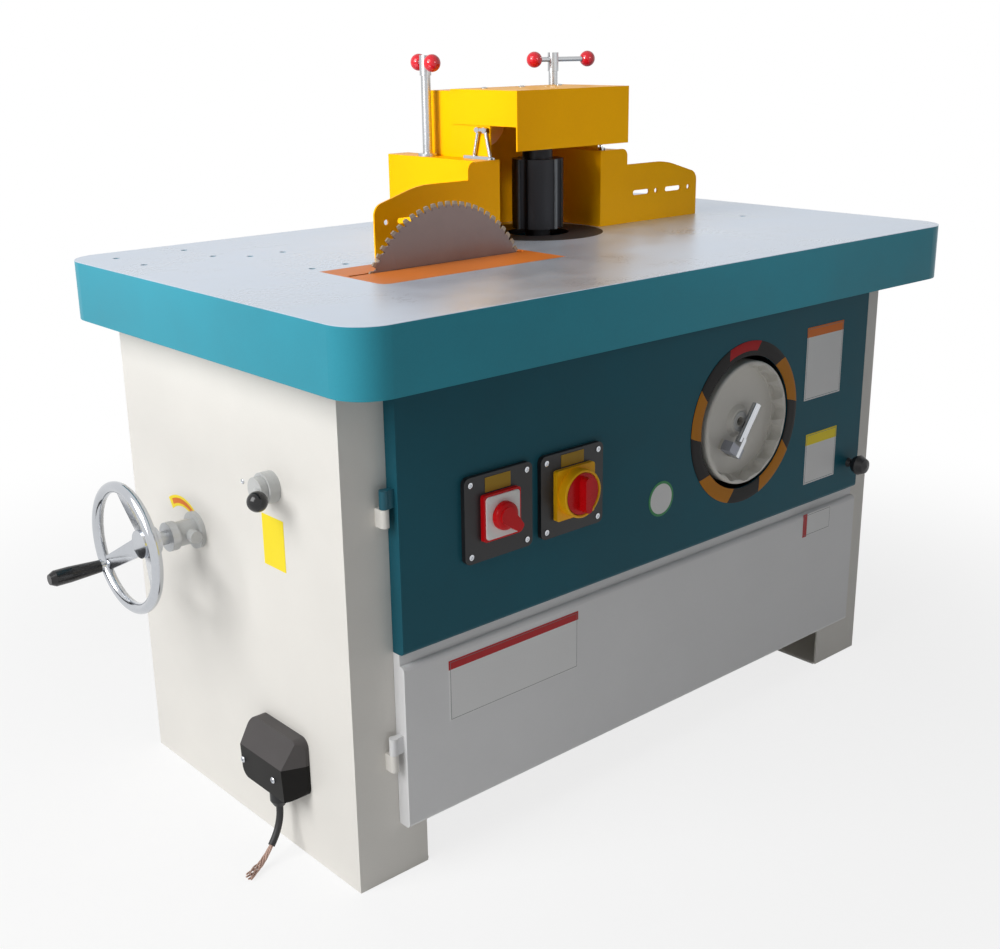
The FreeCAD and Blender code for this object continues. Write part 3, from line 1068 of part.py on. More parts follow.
def clamp(name, side, angle, slide):
    """A clamp screw through the wing and the table's slot, with a cross bar and a ball on each end."""
    x = f"(spindle_x + {side}*clamp_offset)"
    top = "(table_height + clamp_rise)"
    nut_top = f"({PLATE_UNDER} - clamp_gap)"
    post = rod("clamp_radius", f"{top} - ({nut_top} - clamp_nut_height)",
               (x, "clamp_y", f"{nut_top} - clamp_nut_height"))
    nut = rod("clamp_nut", "clamp_nut_height", (x, "clamp_y", f"{nut_top} - clamp_nut_height"))
    washer = rod("clamp_nut", "washer_height", (x, "clamp_y", f"{FENCE_TOP} + clamp_gap"))
    hub = rod("clamp_hub", "clamp_hub_height", (x, "clamp_y", top))
    lean = math.radians(angle)
    way = FreeCAD.Vector(math.cos(lean), math.sin(lean), 0)
    bar_z = f"{top} + clamp_hub_height - bar_drop"

    def along(distance):
        return (f"{x} + ({distance})*{way.x:.5f}", f"clamp_y + ({distance})*{way.y:.5f}", bar_z)

    start = f"{slide}*bar_slide - bar_length/2"
    turn = FreeCAD.Rotation(FreeCAD.Vector(0, 0, 1), way)
    aside = FreeCAD.Rotation(FreeCAD.Vector(1, 0, 0), FreeCAD.Vector(-way.y, way.x, 0))
    bar = primitive("Cylinder", {"Radius": "bar_radius", "Height": "bar_length"}, along(start), turn)
    node(name, fuse(post, nut, washer, hub, bar))
    balls = []
    for distance in (start, f"{slide}*bar_slide + bar_length/2"):
        socket = primitive("Cylinder", {"Radius": "bar_radius + seat_gap",
                                        "Height": "bar_length + 2*seat_gap"},
                           along(f"{start} - seat_gap"), turn)
        balls.append(cut(sphere("knob_ball", along(distance), aside), socket))
    node(name + "_balls", group(*balls))


def main():
    work_table()
    table_inserts()
    cabinet()
    door()
    hinges()
    switches()
    front_wheel()
    wheel_bracket()
    lift_screw("lift_screw", SCREW_X, "screw_y", "wheel_z", "guide_plate")
    spindle_guide()
    spindle_slide()
    spindle()
    spindle_drive()
    saw()
    saw_guide()
    lift_screw("saw_screw", "column_x", "side_y", "side_z", "column_plate")
    side_wheel()
    side_fittings()
    inlet()
    fence_wing("left_wing", -1)
    fence_wing("right_wing", 1)
    fence_hood()
    latches()
    clamp("left_clamp", -1, SIZES["left_bar_angle"], 0)
    clamp("right_clamp", 1, SIZES["right_bar_angle"], 1)
    doc.recompute()
    for obj in doc.Objects:
        if "Invalid" in obj.State or "Error" in obj.State:
            raise RuntimeError(f"{obj.Label} ({obj.Name}) did not build: {obj.State}")
    for obj in nodes:
        if obj.Shape.isNull() or not obj.Shape.isValid():
            raise RuntimeError(f"{obj.Label} has no valid shape")
    os.makedirs("parts", exist_ok=True)
    for obj in nodes:
        obj.Shape.exportStep(f"parts/{obj.Label}.step")
        print(f"{obj.Label}: {len(obj.Shape.Solids)} solid(s), {obj.Shape.Volume / 1000:.1f} cm3")


main()
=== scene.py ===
"""Looks of a spindle moulder with a saw blade: finishes, trim, supply cord, camera and studio."""

import logging
import math
from collections.abc import Iterable
from dataclasses import dataclass, field
from enum import Enum

import bmesh
import bpy
import numpy as np
from mathutils import Matrix, Vector


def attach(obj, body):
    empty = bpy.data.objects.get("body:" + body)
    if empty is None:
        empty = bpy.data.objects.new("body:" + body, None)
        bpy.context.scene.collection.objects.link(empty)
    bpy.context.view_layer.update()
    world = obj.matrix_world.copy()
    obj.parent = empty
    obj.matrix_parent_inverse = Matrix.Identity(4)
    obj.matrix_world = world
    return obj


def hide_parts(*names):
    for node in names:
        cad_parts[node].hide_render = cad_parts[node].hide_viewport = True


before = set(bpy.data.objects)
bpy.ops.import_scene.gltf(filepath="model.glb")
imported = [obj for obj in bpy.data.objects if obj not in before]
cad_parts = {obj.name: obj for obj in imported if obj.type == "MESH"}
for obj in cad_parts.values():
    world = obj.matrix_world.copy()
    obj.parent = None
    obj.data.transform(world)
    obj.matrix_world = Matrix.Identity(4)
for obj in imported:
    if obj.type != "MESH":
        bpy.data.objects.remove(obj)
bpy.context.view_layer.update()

log = logging.getLogger("spindle_moulder")

Pair = tuple[float, float]
Triple = tuple[float, float, float]
Section = tuple[Pair, ...]
Socket = bpy.types.NodeSocket
Thing = bpy.types.Object

# The table's middle along the frame's x, in millimetres.
MIDDLE = 75.5
MILLIMETRE = 0.001
# Width of the photo in pixels and of the camera's sensor in millimetres.
IMAGE_WIDTH = 1000
SENSOR_WIDTH = 36.0
# Level of a fitting's back, which lies a little inside what carries it, in millimetres.
SUNK = -0.3
# Edges bent by more than this many degrees stay sharp: as a rule, on a turned ring, on beads and wires.
SHARP = 35.0
SHARP_TURNED = 50.0
SHARP_ROUND = 60.0
# Broad patches in a finish: waves a metre, detail, and the part of the noise that is used.
PATCH_WAVES = 7.0
PATCH_DETAIL = 4.0
NOISE_RANGE = (0.3, 0.7)
# The part of the grain that flecks a colour, and its share of the mottle.
FLECK_RANGE = (0.25, 0.75)
FLECK_SHARE = 0.8
# Shares of the patches and of the grain in a roughness.
ROUGH_BY_PATCH = 0.6
ROUGH_BY_GRAIN = 0.4
# Detail of fine, cast and ring grain, and how far rings stray.
FINE_DETAIL = 2.5
CAST_DETAIL = 5.0
RING_DETAIL = 2.0
RING_STRAY = 1.5
# Half the width of the edge between two finishes, in metres.
MASK_EDGE = 0.0002
# A printed plate's thickness, the margin outside its rule and the rule's width, in millimetres.
PLATE_THICK = 0.5
PLATE_MARGIN = 2.2
PLATE_RULE = 0.7
# The saw blade's middle and the door's face along y, in millimetres from the table's middle.
SAW_MIDDLE = (-230, -72, 713)
DOOR_FACE = -284.5


def metres(place: Triple | np.ndarray) -> np.ndarray:
    """Turns places in millimetres from the table's middle, x, y, z last, into the frame's metres."""
    return (np.asarray(place, dtype=float) + np.array([MIDDLE, 0.0, 0.0])) * MILLIMETRE


def linear(colour: Triple) -> np.ndarray:
    """Linear light of a screen colour given as three numbers up to 255, by the sRGB curve."""
    share = np.asarray(colour, dtype=float) / 255.0
    return np.where(share <= 0.04045, share / 12.92, ((share + 0.055) / 1.055) ** 2.4)


def smooth_step(low: float, high: float, values: np.ndarray) -> np.ndarray:
    """Rises from 0 at low to 1 at high along 3t^2 - 2t^3."""
    share = np.clip((values - low) / (high - low), 0.0, 1.0)
    return share * share * (3.0 - 2.0 * share)


class Facing(Enum):
    """Which way a fitting looks: its right-hand, upward and outward directions."""

    FRONT = ((1, 0, 0), (0, 0, 1), (0, -1, 0))
    LEFT = ((0, -1, 0), (0, 0, 1), (-1, 0, 0))
    TOP = ((1, 0, 0), (0, 1, 0), (0, 0, 1))

    def stand(self, local: np.ndarray, at: Triple) -> np.ndarray:
        """Turns local (right, up, out) millimetres to this facing, set down at a place, in metres."""
        return metres(local @ np.array(self.value, dtype=float) + np.array(at, dtype=float))


class Zone(Enum):
    """Where a second finish lies on a node."""

    ABOVE = "above a level"
    WITHIN = "nearer to a point than a reach"
    BEYOND = "farther from a point than a reach"


class Texture(Enum):
    """What breaks up a finish."""

    PEEL = "fine even grain of sprayed paint and moulded plastic"
    BRUSHED = "grain drawn out along one direction"
    RINGS = "rings left by turning or grinding about an axis along y"
    CAST = "lumpy grain of rough casting"


@dataclass(frozen=True)
class Finish:
    """One surface finish: its colour, gloss and what breaks them up.

    Attributes:
        name: the material's name.
        colour: screen colour, three numbers up to 255.
        roughness: middle roughness.
        spread: how far roughness strays from its middle.
        metallic: 1 for bare metal, 0 for paint, plastic and rubber.
        mottle: share by which the colour strays lighter and darker in broad patches.
        grain: fineness of the grain, in waves a metre.
        bump: height of the grain, in millimetres.
        texture: the kind of grain.
        stretch: scale of the grain along x, y and z.
        centre: the middle of ring marks, in millimetres from the table's middle.
        gloss: strength of the surface reflection of paint, plastic and rubber.
    """

    name: str
    colour: Triple
    roughness: float
    spread: float = 0.08
    metallic: float = 0.0
    mottle: float = 0.04
    grain: float = 450.0
    bump: float = 0.05
    texture: Texture = Texture.PEEL
    stretch: Triple = (1.0, 1.0, 1.0)
    centre: Triple = (0.0, 0.0, 0.0)
    gloss: float = 0.5


@dataclass(frozen=True)
class Patch:
    """A second finish on part of a node.

    Attributes:
        finish: the second finish.
        zone: how its part is told.
        place: the point or level, in millimetres from the table's middle.
        reach: the distance that bounds it, in millimetres.
        weights: how much of the way along x, y and z counts as distance.
    """

    finish: Finish
    zone: Zone
    place: Triple
    reach: float = 0.0
    weights: Triple = (1.0, 1.0, 1.0)


SKIRT_TEAL = Finish("skirt_teal", (54, 150, 170), 0.36, mottle=0.05, grain=380, gloss=0.15)
GROUND_STEEL = Finish("ground_steel", (207, 218, 232), 0.32, spread=0.1, metallic=0.6, mottle=0.05,
                      grain=160, bump=0.012, texture=Texture.BRUSHED, stretch=(1, 14, 1))
CABINET_WHITE = Finish("cabinet_white", (230, 227, 221), 0.42, mottle=0.025, grain=420, bump=0.06, gloss=0.3)
# Teal of the door and of the hinge leaves' upper part. It is set darker than the skirt's teal as painted
# shade under the table's overhang.
DOOR_TEAL = Finish("door_teal", (33, 92, 107), 0.4, mottle=0.05, grain=420, gloss=0.1)
DOOR_WHITE = Finish("door_white", (230, 230, 231), 0.38, mottle=0.02, grain=420, gloss=0.3)
FENCE_YELLOW = Finish("fence_yellow", (255, 180, 0), 0.38, grain=320, bump=0.06, gloss=0.1)
INSERT_ORANGE = Finish("insert_orange", (222, 122, 38), 0.5, mottle=0.12, grain=90, bump=0.03,
                       texture=Texture.BRUSHED, stretch=(1, 9, 1))
RING_BLACK = Finish("ring_black", (36, 32, 31), 0.5, mottle=0.12, grain=260, bump=0.03, gloss=0.3)
BLACK_PLASTIC = Finish("black_plastic", (34, 34, 36), 0.42, mottle=0.1, grain=900, bump=0.04, gloss=0.35)
INLET_BLACK = Finish("inlet_black", (27, 26, 25), 0.45, mottle=0.1, grain=900, gloss=0.12)
INLET_UPPER_GREY = Finish("inlet_upper_grey", (88, 85, 85), 0.42, mottle=0.1, grain=900, gloss=0.12)
BLACK_GLOSS = Finish("black_gloss", (22, 22, 24), 0.2, spread=0.05, mottle=0.08, grain=260, bump=0.01)
RED_PLASTIC = Finish("red_plastic", (214, 14, 22), 0.3, mottle=0.06, grain=700, bump=0.02, gloss=0.18)
RED_BALL = Finish("red_ball", (206, 20, 38), 0.16, spread=0.05, mottle=0.05, grain=200, bump=0.01)
YELLOW_PLASTIC = Finish("yellow_plastic", (255, 188, 14), 0.36, mottle=0.05, grain=700, bump=0.03, gloss=0.2)
CREAM_PLASTIC = Finish("cream_plastic", (216, 213, 206), 0.4, grain=600, bump=0.04)
WHITE_PLASTIC = Finish("white_plastic", (238, 238, 236), 0.36, mottle=0.03, grain=700, bump=0.02)
CHROME = Finish("chrome", (196, 199, 204), 0.12, spread=0.05, metallic=1.0, grain=140, bump=0.008)
BRIGHT_STEEL = Finish("bright_steel", (186, 188, 190), 0.28, spread=0.1, metallic=1.0, mottle=0.08,
                      grain=260, bump=0.015, texture=Texture.BRUSHED, stretch=(1, 1, 8))
DARK_STEEL = Finish("dark_steel", (36, 36, 39), 0.42, spread=0.12, metallic=0.7, mottle=0.14,
                    grain=320, bump=0.02)
BLADE_STEEL = Finish("blade_steel", (128, 112, 108), 0.34, spread=0.12, metallic=0.9, mottle=0.09,
                     grain=420, bump=0.02, texture=Texture.RINGS, centre=SAW_MIDDLE)
CARBIDE = Finish("carbide", (150, 137, 120), 0.36, spread=0.1, metallic=0.7, mottle=0.12,
                 grain=500, bump=0.02)
KNIFE_STEEL = Finish("knife_steel", (104, 107, 110), 0.5, spread=0.12, metallic=0.6, mottle=0.3,
                     grain=600, bump=0.04)
PIVOT_STEEL = Finish("pivot_steel", (164, 167, 178), 0.45, spread=0.1, metallic=0.25, mottle=0.1,
                     grain=320, bump=0.02)
GREY_IRON = Finish("grey_iron", (112, 117, 120), 0.52, mottle=0.12, grain=240, bump=0.14,
                   texture=Texture.CAST)
PALE_GREY = Finish("pale_grey", (196, 197, 196), 0.4, mottle=0.05, grain=300, bump=0.06)
MOTOR_GREY = Finish("motor_grey", (84, 98, 108), 0.44, mottle=0.1, grain=260, bump=0.1, texture=Texture.CAST)
BELT_RUBBER = Finish("belt_rubber", (30, 30, 30), 0.72, mottle=0.15, grain=800, bump=0.06)
CORD_RUBBER = Finish("cord_rubber", (28, 28, 30), 0.5, mottle=0.12, grain=700, bump=0.04)
COPPER_STRAND = Finish("copper_strand", (190, 158, 144), 0.45, spread=0.1, metallic=0.3, mottle=0.2,
                       grain=900)
PRINTED_FILM = Finish("printed_film", (255, 255, 255), 0.4, mottle=0.02, grain=500, bump=0.01, gloss=0.2)
PRINTED_RING = Finish("printed_ring", (255, 255, 255), 0.46, mottle=0.08, grain=420, bump=0.03, gloss=0.12)

PAPER_WHITE = linear((236, 236, 236))
PRINT_GREY = linear((120, 122, 126))
PRINT_RED = linear((186, 40, 44))
PRINT_ORANGE = linear((226, 118, 32))
PRINT_YELLOW = linear((250, 226, 40))
PRINT_GREEN = linear((70, 150, 96))
PRINT_BLACK = linear((30, 28, 28))
# Yellow of the switch tags, darkened to ochre as painted shade.
SHADED_TAG_YELLOW = linear((172, 136, 36))
HAZARD_ORANGE = linear((198, 128, 34))

NODE_FINISHES: dict[Finish, tuple[str, ...]] = {
    SKIRT_TEAL: ("work_table",),
    RING_BLACK: ("spindle_ring",),
    INSERT_ORANGE: ("saw_insert",),
    CABINET_WHITE: ("cabinet_left", "cabinet_right", "cabinet_back", "cabinet_front", "cabinet_floor",
                    "hinge_brackets"),
    DOOR_TEAL: ("door_upper",),
    DOOR_WHITE: ("door_lower", "hinge_leaves"),
    BLACK_PLASTIC: ("door_pull", "switch_plates", "cable_gland"),
    INLET_BLACK: ("inlet_housing",),
    BLACK_GLOSS: ("side_grip",),
    RED_PLASTIC: ("selector_base", "selector_knob", "isolator_knob"),
    YELLOW_PLASTIC: ("isolator_base",),
    CREAM_PLASTIC: ("front_wheel",),
    CHROME: ("front_handle", "side_wheel", "hood_latches"),
    BRIGHT_STEEL: ("front_shaft", "lift_screw", "saw_screw", "side_shaft", "spindle_quill", "spindle_shaft",
                   "spindle_bearings", "saw_arbor", "left_clamp", "right_clamp"),
    DARK_STEEL: ("cutter_block", "spindle_collars", "spindle_pulley", "motor_pulley", "saw_motor_drum"),
    BLADE_STEEL: ("saw_blade",),
    KNIFE_STEEL: ("cutter_knives",),
    GREY_IRON: ("spindle_guide", "saw_guide", "spindle_slide", "saw_carriage", "wheel_bracket"),
    PALE_GREY: ("side_bosses", "lock_lever"),
    MOTOR_GREY: ("spindle_motor", "saw_motor"),
    BELT_RUBBER: ("drive_belt", "saw_belt"),
    FENCE_YELLOW: ("left_wing", "right_wing", "fence_hood", "visor"),
    RED_BALL: ("left_clamp_balls", "right_clamp_balls"),
    CORD_RUBBER: ("supply_cord",),
}

NODE_PATCHES: dict[str, Patch] = {
    "work_table": Patch(GROUND_STEEL, Zone.ABOVE, (0, 0, 778.2)),
    # The inlet housing is mid grey above its ridge and near black below.
    "inlet_housing": Patch(INLET_UPPER_GREY, Zone.ABOVE, (0, 0, 147.2)),
    "hinge_leaves": Patch(DOOR_TEAL, Zone.ABOVE, (0, 0, 350)),
    "front_wheel": Patch(PIVOT_STEEL, Zone.WITHIN, (154.5, -286, 470), reach=24, weights=(1, 1.5, 1)),
    # The black at the front shaft's end inside the hub is painted shade: it stands for the dark of the hub's
    # hole.
    "front_shaft": Patch(BLACK_PLASTIC, Zone.WITHIN, (183, -266.5, 507), reach=14),
    "lock_lever": Patch(BLACK_GLOSS, Zone.WITHIN, (-600.4, -139, 529), reach=14.2),
    "saw_blade": Patch(CARBIDE, Zone.BEYOND, SAW_MIDDLE, reach=145.5, weights=(1, 0, 1)),
}


class Graph:
    """A material's or a world's node tree while it is put together."""

    def __init__(self, holder: bpy.types.Material | bpy.types.World) -> None:
        """Takes up the node tree of what holds it."""
        holder.use_nodes = True
        self.tree = holder.node_tree

    def add(self, kind: str, inputs: dict | None = None, **settings: object) -> bpy.types.Node:
        """Adds a node, sets it and feeds it.

        Args:
            kind: the node's type.
            inputs: sockets to link or values to set, by input name or number.
            settings: the node's own properties.

        Returns:
            The new node.
        """
        made = self.tree.nodes.new(kind)
        for key, setting in settings.items():
            setattr(made, key, setting)
        for key, given in (inputs or {}).items():
            self.feed(made.inputs[key], given)
        return made

    def feed(self, socket: Socket, given: object) -> None:
        """Links an output to a socket, or sets the socket to a value.

        Args:
            socket: the input that is fed.
            given: an output socket or a value.
        """
        if isinstance(given, Socket):
            self.tree.links.new(given, socket)
        else:
            socket.default_value = given

    def math(self, operation: str, first: object, second: object) -> Socket:
        """The result of one Math node."""
        return self.add("ShaderNodeMath", {0: first, 1: second}, operation=operation).outputs[0]

    def vector(self, operation: str, first: object, second: object) -> Socket:
        """The vector that one Vector Math node gives."""
        return self.add("ShaderNodeVectorMath", {0: first, 1: second}, operation=operation).outputs[0]

    def length(self, vector: object) -> Socket:
        """The length of a vector."""
        return self.add("ShaderNodeVectorMath", {0: vector}, operation="LENGTH").outputs["Value"]

    def ramp(self, given: object, start: Pair, end: Pair = (0.0, 1.0), way: str = "LINEAR") -> Socket:
        """Carries a number from one range to another and holds it at the ends."""
        ends = {"From Min": start[0], "From Max": start[1], "To Min": end[0], "To Max": end[1]}
        return self.add("ShaderNodeMapRange", {"Value": given, **ends}, interpolation_type=way).outputs[0]

    def noise(self, place: object, waves: float, detail: float) -> Socket:
        """The height of a noise at a place, from 0 to 1."""
        made = self.add("ShaderNodeTexNoise", {"Vector": place, "Scale": waves, "Detail": detail})
        return made.outputs["Fac"]

    def between(self, share: object, low: object, high: object) -> Socket:
        """Blends two numbers by a share."""
        return self.add("ShaderNodeMix", {0: share, 2: low, 3: high}, data_type="FLOAT").outputs[0]

    def blend(self, share: object, low: object, high: object, way: str = "MIX") -> Socket:
        """Blends two colours by a share."""
        made = self.add("ShaderNodeMix", {0: share, 6: low, 7: high}, data_type="RGBA", blend_type=way)
        return made.outputs[2]


class Surface(Graph):
    """A material's node tree while its finish is put together."""

    def __init__(self, name: str) -> None:
        """Starts a material with Object coordinates ready.

        Args:
            name: the material's name.
        """
        self.material = bpy.data.materials.new(name)
        super().__init__(self.material)
        self.shader = self.tree.nodes["Principled BSDF"]
        self.coords = self.add("ShaderNodeTexCoord").outputs["Object"]

    def grain(self, finish: Finish) -> Socket:
        """The height of a finish's grain, from 0 to 1.

        Args:
            finish: the finish whose texture, fineness and stretch are used.

        Returns:
            A socket: noise for paint, plastic and casting, drawn-out noise for brushing, ring waves for
            turning.
        """
        if finish.texture is Texture.RINGS:
            offset = tuple(-metres(finish.centre))
            place = self.add("ShaderNodeMapping", {"Vector": self.coords, "Location": offset}).outputs[0]
            kind = {"Vector": place, "Scale": finish.grain, "Distortion": RING_STRAY, "Detail": RING_DETAIL}
            rings = self.add("ShaderNodeTexWave", kind, wave_type="RINGS", rings_direction="Y")
            return rings.outputs["Fac"]
        place = self.add("ShaderNodeMapping", {"Vector": self.coords, "Scale": finish.stretch}).outputs[0]
        detail = CAST_DETAIL if finish.texture is Texture.CAST else FINE_DETAIL
        return self.noise(place, finish.grain, detail)

    def channels(self, finish: Finish, tone: Socket | None = None) -> tuple[Socket, Socket, Socket, float]:
        """Colour, roughness and height of one finish.

        Args:
            finish: the finish.
            tone: a colour that tints the finish's own colour.

        Returns:
            The colour socket, the roughness socket, the height socket in metres, and metallic.
        """
        height = self.grain(finish)
        patches = self.noise(self.coords, PATCH_WAVES, PATCH_DETAIL)
        own = linear(finish.colour)
        light = (*np.clip(own * (1 + finish.mottle), 0, 1), 1)
        dark = (*(own * (1 - finish.mottle)), 1)
        colour = self.blend(self.ramp(patches, NOISE_RANGE), dark, light)
        fleck = self.ramp(height, FLECK_RANGE, (1 - FLECK_SHARE * finish.mottle, 1.0))
        colour = self.blend(1.0, colour, fleck, "MULTIPLY")
        if tone is not None:
            colour = self.blend(1.0, colour, tone, "MULTIPLY")
        by_patch = self.math("MULTIPLY", patches, ROUGH_BY_PATCH)
        by_grain = self.math("MULTIPLY", height, ROUGH_BY_GRAIN)
        smoothest, roughest = finish.roughness - finish.spread, finish.roughness + finish.spread
        rough = self.ramp(self.math("ADD", by_patch, by_grain), NOISE_RANGE, (smoothest, roughest))
        return colour, rough, self.math("MULTIPLY", height, finish.bump * MILLIMETRE), finish.metallic

    def mask(self, patch: Patch) -> Socket:
        """A share that is 1 where a patch lies and 0 elsewhere.

        Args:
            patch: the patch, told by a level or a distance.

        Returns:
            The share's socket.
        """
        place = metres(patch.place)
        if patch.zone is Zone.ABOVE:
            measured = self.add("ShaderNodeSeparateXYZ", {"Vector": self.coords}).outputs["Z"]
            level = float(place[2])
        else:
            apart = self.vector("SUBTRACT", self.coords, tuple(place))
            measured = self.length(self.vector("MULTIPLY", apart, patch.weights))
            level = patch.reach * MILLIMETRE
        inside = (1.0, 0.0) if patch.zone is Zone.WITHIN else (0.0, 1.0)
        return self.ramp(measured, (level - MASK_EDGE, level + MASK_EDGE), inside)

    def finish(self, finish: Finish, patch: Patch | None = None, toned: bool = False) -> bpy.types.Material:
        """Feeds the shader with a finish, and with a patch's finish where it lies.

        Args:
            finish: the main finish.
            patch: a second finish on part of the surface.
            toned: whether the piece's own tone attribute tints the colour.

        Returns:
            The finished material.
        """
        tone = self.add("ShaderNodeAttribute", attribute_name="tone").outputs["Color"] if toned else None
        colour, rough, height, metallic = self.channels(finish, tone)
        if patch is not None:
            share = self.mask(patch)
            colour_2, rough_2, height_2, metallic_2 = self.channels(patch.finish)
            colour = self.blend(share, colour, colour_2)
            rough = self.between(share, rough, rough_2)
            height = self.between(share, height, height_2)
            metallic = self.between(share, metallic, metallic_2) if metallic != metallic_2 else metallic
        raised = self.add("ShaderNodeBump", {"Height": height, "Strength": 1.0, "Distance": 1.0}).outputs[0]
        settings = {"Base Color": colour, "Roughness": rough, "Metallic": metallic, "Normal": raised,
                    "Specular IOR Level": finish.gloss}
        for key, given in settings.items():
            self.feed(self.shader.inputs[key], given)
        return self.material


class Paintshop:
    """Keeps one material for each finish."""

    def __init__(self) -> None:
        """Starts with no material made."""
        self.made: dict[str, bpy.types.Material] = {}

    def material(self, finish: Finish, patch: Patch | None = None,
                 toned: bool = False) -> bpy.types.Material:
        """The material of a finish, made once.

        Args:
            finish: the main finish.
            patch: a second finish on part of a node.
            toned: whether the piece's own tone attribute tints the colour.

        Returns:
            The material.
        """
        name = finish.name if patch is None else f"{finish.name}_and_{patch.finish.name}"
        if name not in self.made:
            self.made[name] = Surface(name).finish(finish, patch, toned)
        return self.made[name]


SHOP = Paintshop()


@dataclass
class Shell:
    """Surfaces of one piece while they are gathered into a single mesh.

    Attributes:
        points: arrays of points, in metres.
        faces: corner numbers of each face.
        tones: colours of the faces, for printed pieces.
        count: how many points there are so far.
    """

    points: list[np.ndarray] = field(default_factory=list)
    faces: list[list[int]] = field(default_factory=list)
    tones: list[np.ndarray] = field(default_factory=list)
    count: int = 0

    def add(self, grid: np.ndarray, wrap: bool = True, caps: bool = True,
            tone: np.ndarray | None = None) -> None:
        """Adds a surface given as rows and columns of points; each cell is a face.

        Args:
            grid: points, rows by columns by x, y, z.
            wrap: whether the last column joins the first; if not, the back is closed by one face.
            caps: whether the first and last row of a wrapped grid are closed by a face.
            tone: colours, one for each cell, or one for all.
        """
        rows, columns = grid.shape[:2]
        index = np.arange(rows * columns).reshape(rows, columns) + self.count
        left = index if wrap else index[:, :-1]
        right = np.roll(index, -1, axis=1) if wrap else index[:, 1:]
        cells = np.stack([left[:-1], right[:-1], right[1:], left[1:]], axis=-1)
        self.faces += cells.reshape(-1, 4).tolist()
        extra = []
        if wrap and caps:
            extra = [index[0][::-1].tolist(), index[-1].tolist()]
        elif not wrap:
            extra = [index[[0, -1, -1, 0], [0, 0, -1, -1]].tolist()]
        self.faces += extra
        if tone is not None:
            spread = np.broadcast_to(tone, (*cells.shape[:2], 3)).reshape(-1, 3)
            self.tones += [spread, np.broadcast_to(spread[-1], (len(extra), 3))]
        self.points.append(grid.reshape(-1, 3))
        self.count += rows * columns

    def mesh(self, name: str) -> bpy.types.Mesh:
        """The gathered surfaces as a mesh.

        Args:
            name: the mesh's name.

        Returns:
            The mesh.
        """
        made = bpy.data.meshes.new(name)
        made.from_pydata(np.concatenate(self.points).tolist(), [], self.faces)
        return made

    def piece(self, name: str, finish: Finish, body: str, sharp: float) -> Thing:
        """Makes the gathered surfaces a finished piece of the machine.

        Args:
            name: the piece's name.
            finish: its finish.
            body: the body it rides on.
            sharp: edges bent by more than this many degrees stay sharp.

        Returns:
            The new object, at the origin.
        """
        mesh = self.mesh(name)
        work = bmesh.new()
        work.from_mesh(mesh)
        bmesh.ops.recalc_face_normals(work, faces=work.faces)
        work.to_mesh(mesh)
        work.free()
        if self.tones:
            shades = np.concatenate(self.tones)
            sizes = np.array([len(face) for face in self.faces])
            corners = np.repeat(np.column_stack([shades, np.ones(len(shades))]), sizes, axis=0)
            mesh.attributes.new("tone", "FLOAT_COLOR", "CORNER").data.foreach_set("color", corners.ravel())
        mesh.polygons.foreach_set("use_smooth", np.ones(len(mesh.polygons), dtype=bool))
        mesh.set_sharp_from_angle(angle=math.radians(sharp))
        mesh.materials.append(SHOP.material(finish, toned=bool(self.tones)))
        made = bpy.data.objects.new(name, mesh)
        bpy.context.scene.collection.objects.link(made)
        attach(made, body)
        log.info("%s: %d faces on %s", name, len(mesh.polygons), body)
        return made


def fitting(name: str, grids: Iterable[np.ndarray], finish: Finish, slot: str, body: str,
            sharp: float = SHARP, **kind: object) -> Thing:
    """Makes one piece of the machine from surfaces that close alike.

    Args:
        name: the piece's name.
        grids: its surfaces, each rows by columns of points in metres.
        finish: its finish.
        slot: a material slot's name; not used.
        body: the body it rides on.
        sharp: edges bent by more than this many degrees stay sharp.
        kind: how each surface closes and what colours it has, as Shell.add takes them.

    Returns:
        The new object, at the origin.
    """
    shell = Shell()
    for grid in grids:
        shell.add(grid, **kind)
    return shell.piece(name, finish, body, sharp)


def screws(name: str, head: np.ndarray, facing: Facing, places: Iterable[Triple], finish: Finish,
           body: str) -> None:
    """Sets equal screw heads down at places, as one piece of a body."""
    fitting(name, [facing.stand(head, at) for at in places], finish, "bright_steel", body)


def unit(vectors: np.ndarray) -> np.ndarray:
    """The directions of rows of vectors, each of length 1."""
    return vectors / np.linalg.norm(vectors, axis=1, keepdims=True)


def polar(radius: np.ndarray, angles: np.ndarray, level: np.ndarray) -> np.ndarray:
    """Points at a radius, an angle in radians and a level, rows by columns."""
    return np.stack([radius * np.cos(angles), radius * np.sin(angles), level + 0 * angles], axis=-1)


def lifted(flat: np.ndarray, levels: np.ndarray) -> np.ndarray:
    """Flat rows of points, each row lifted to its own level."""
    return np.concatenate([flat, np.broadcast_to(levels[:, None, None], (*flat.shape[:2], 1))], axis=-1)


def rounded_outline(width: float, height: float, corner: float, steps: int = 8) -> np.ndarray:
    """Outline of a rounded rectangle: four corner centres, each with a quarter turn of radius corner.

    Args:
        width: full width.
        height: full height.
        corner: corner radius.
        steps: points on each corner.

    Returns:
        Points anticlockwise, right and up.
    """
    quarter = np.arange(4)[:, None]
    angles = (quarter + np.linspace(0, 1, steps)[None, :]) * math.pi / 2
    signs = np.array([[1, 1], [-1, 1], [-1, -1], [1, -1]])[:, None, :]
    centres = signs * np.array([width / 2 - corner, height / 2 - corner])
    return (centres + corner * np.stack([np.cos(angles), np.sin(angles)], axis=-1)).reshape(-1, 2)


def lathe(profile: Iterable[Pair] | np.ndarray, steps: int) -> np.ndarray:
    """A turned form: each profile point (radius, level) goes once round the outward axis, in equal steps."""
    line = np.array(profile, dtype=float)
    return polar(line[:, :1], np.arange(steps) * 2 * math.pi / steps, line[:, 1:])


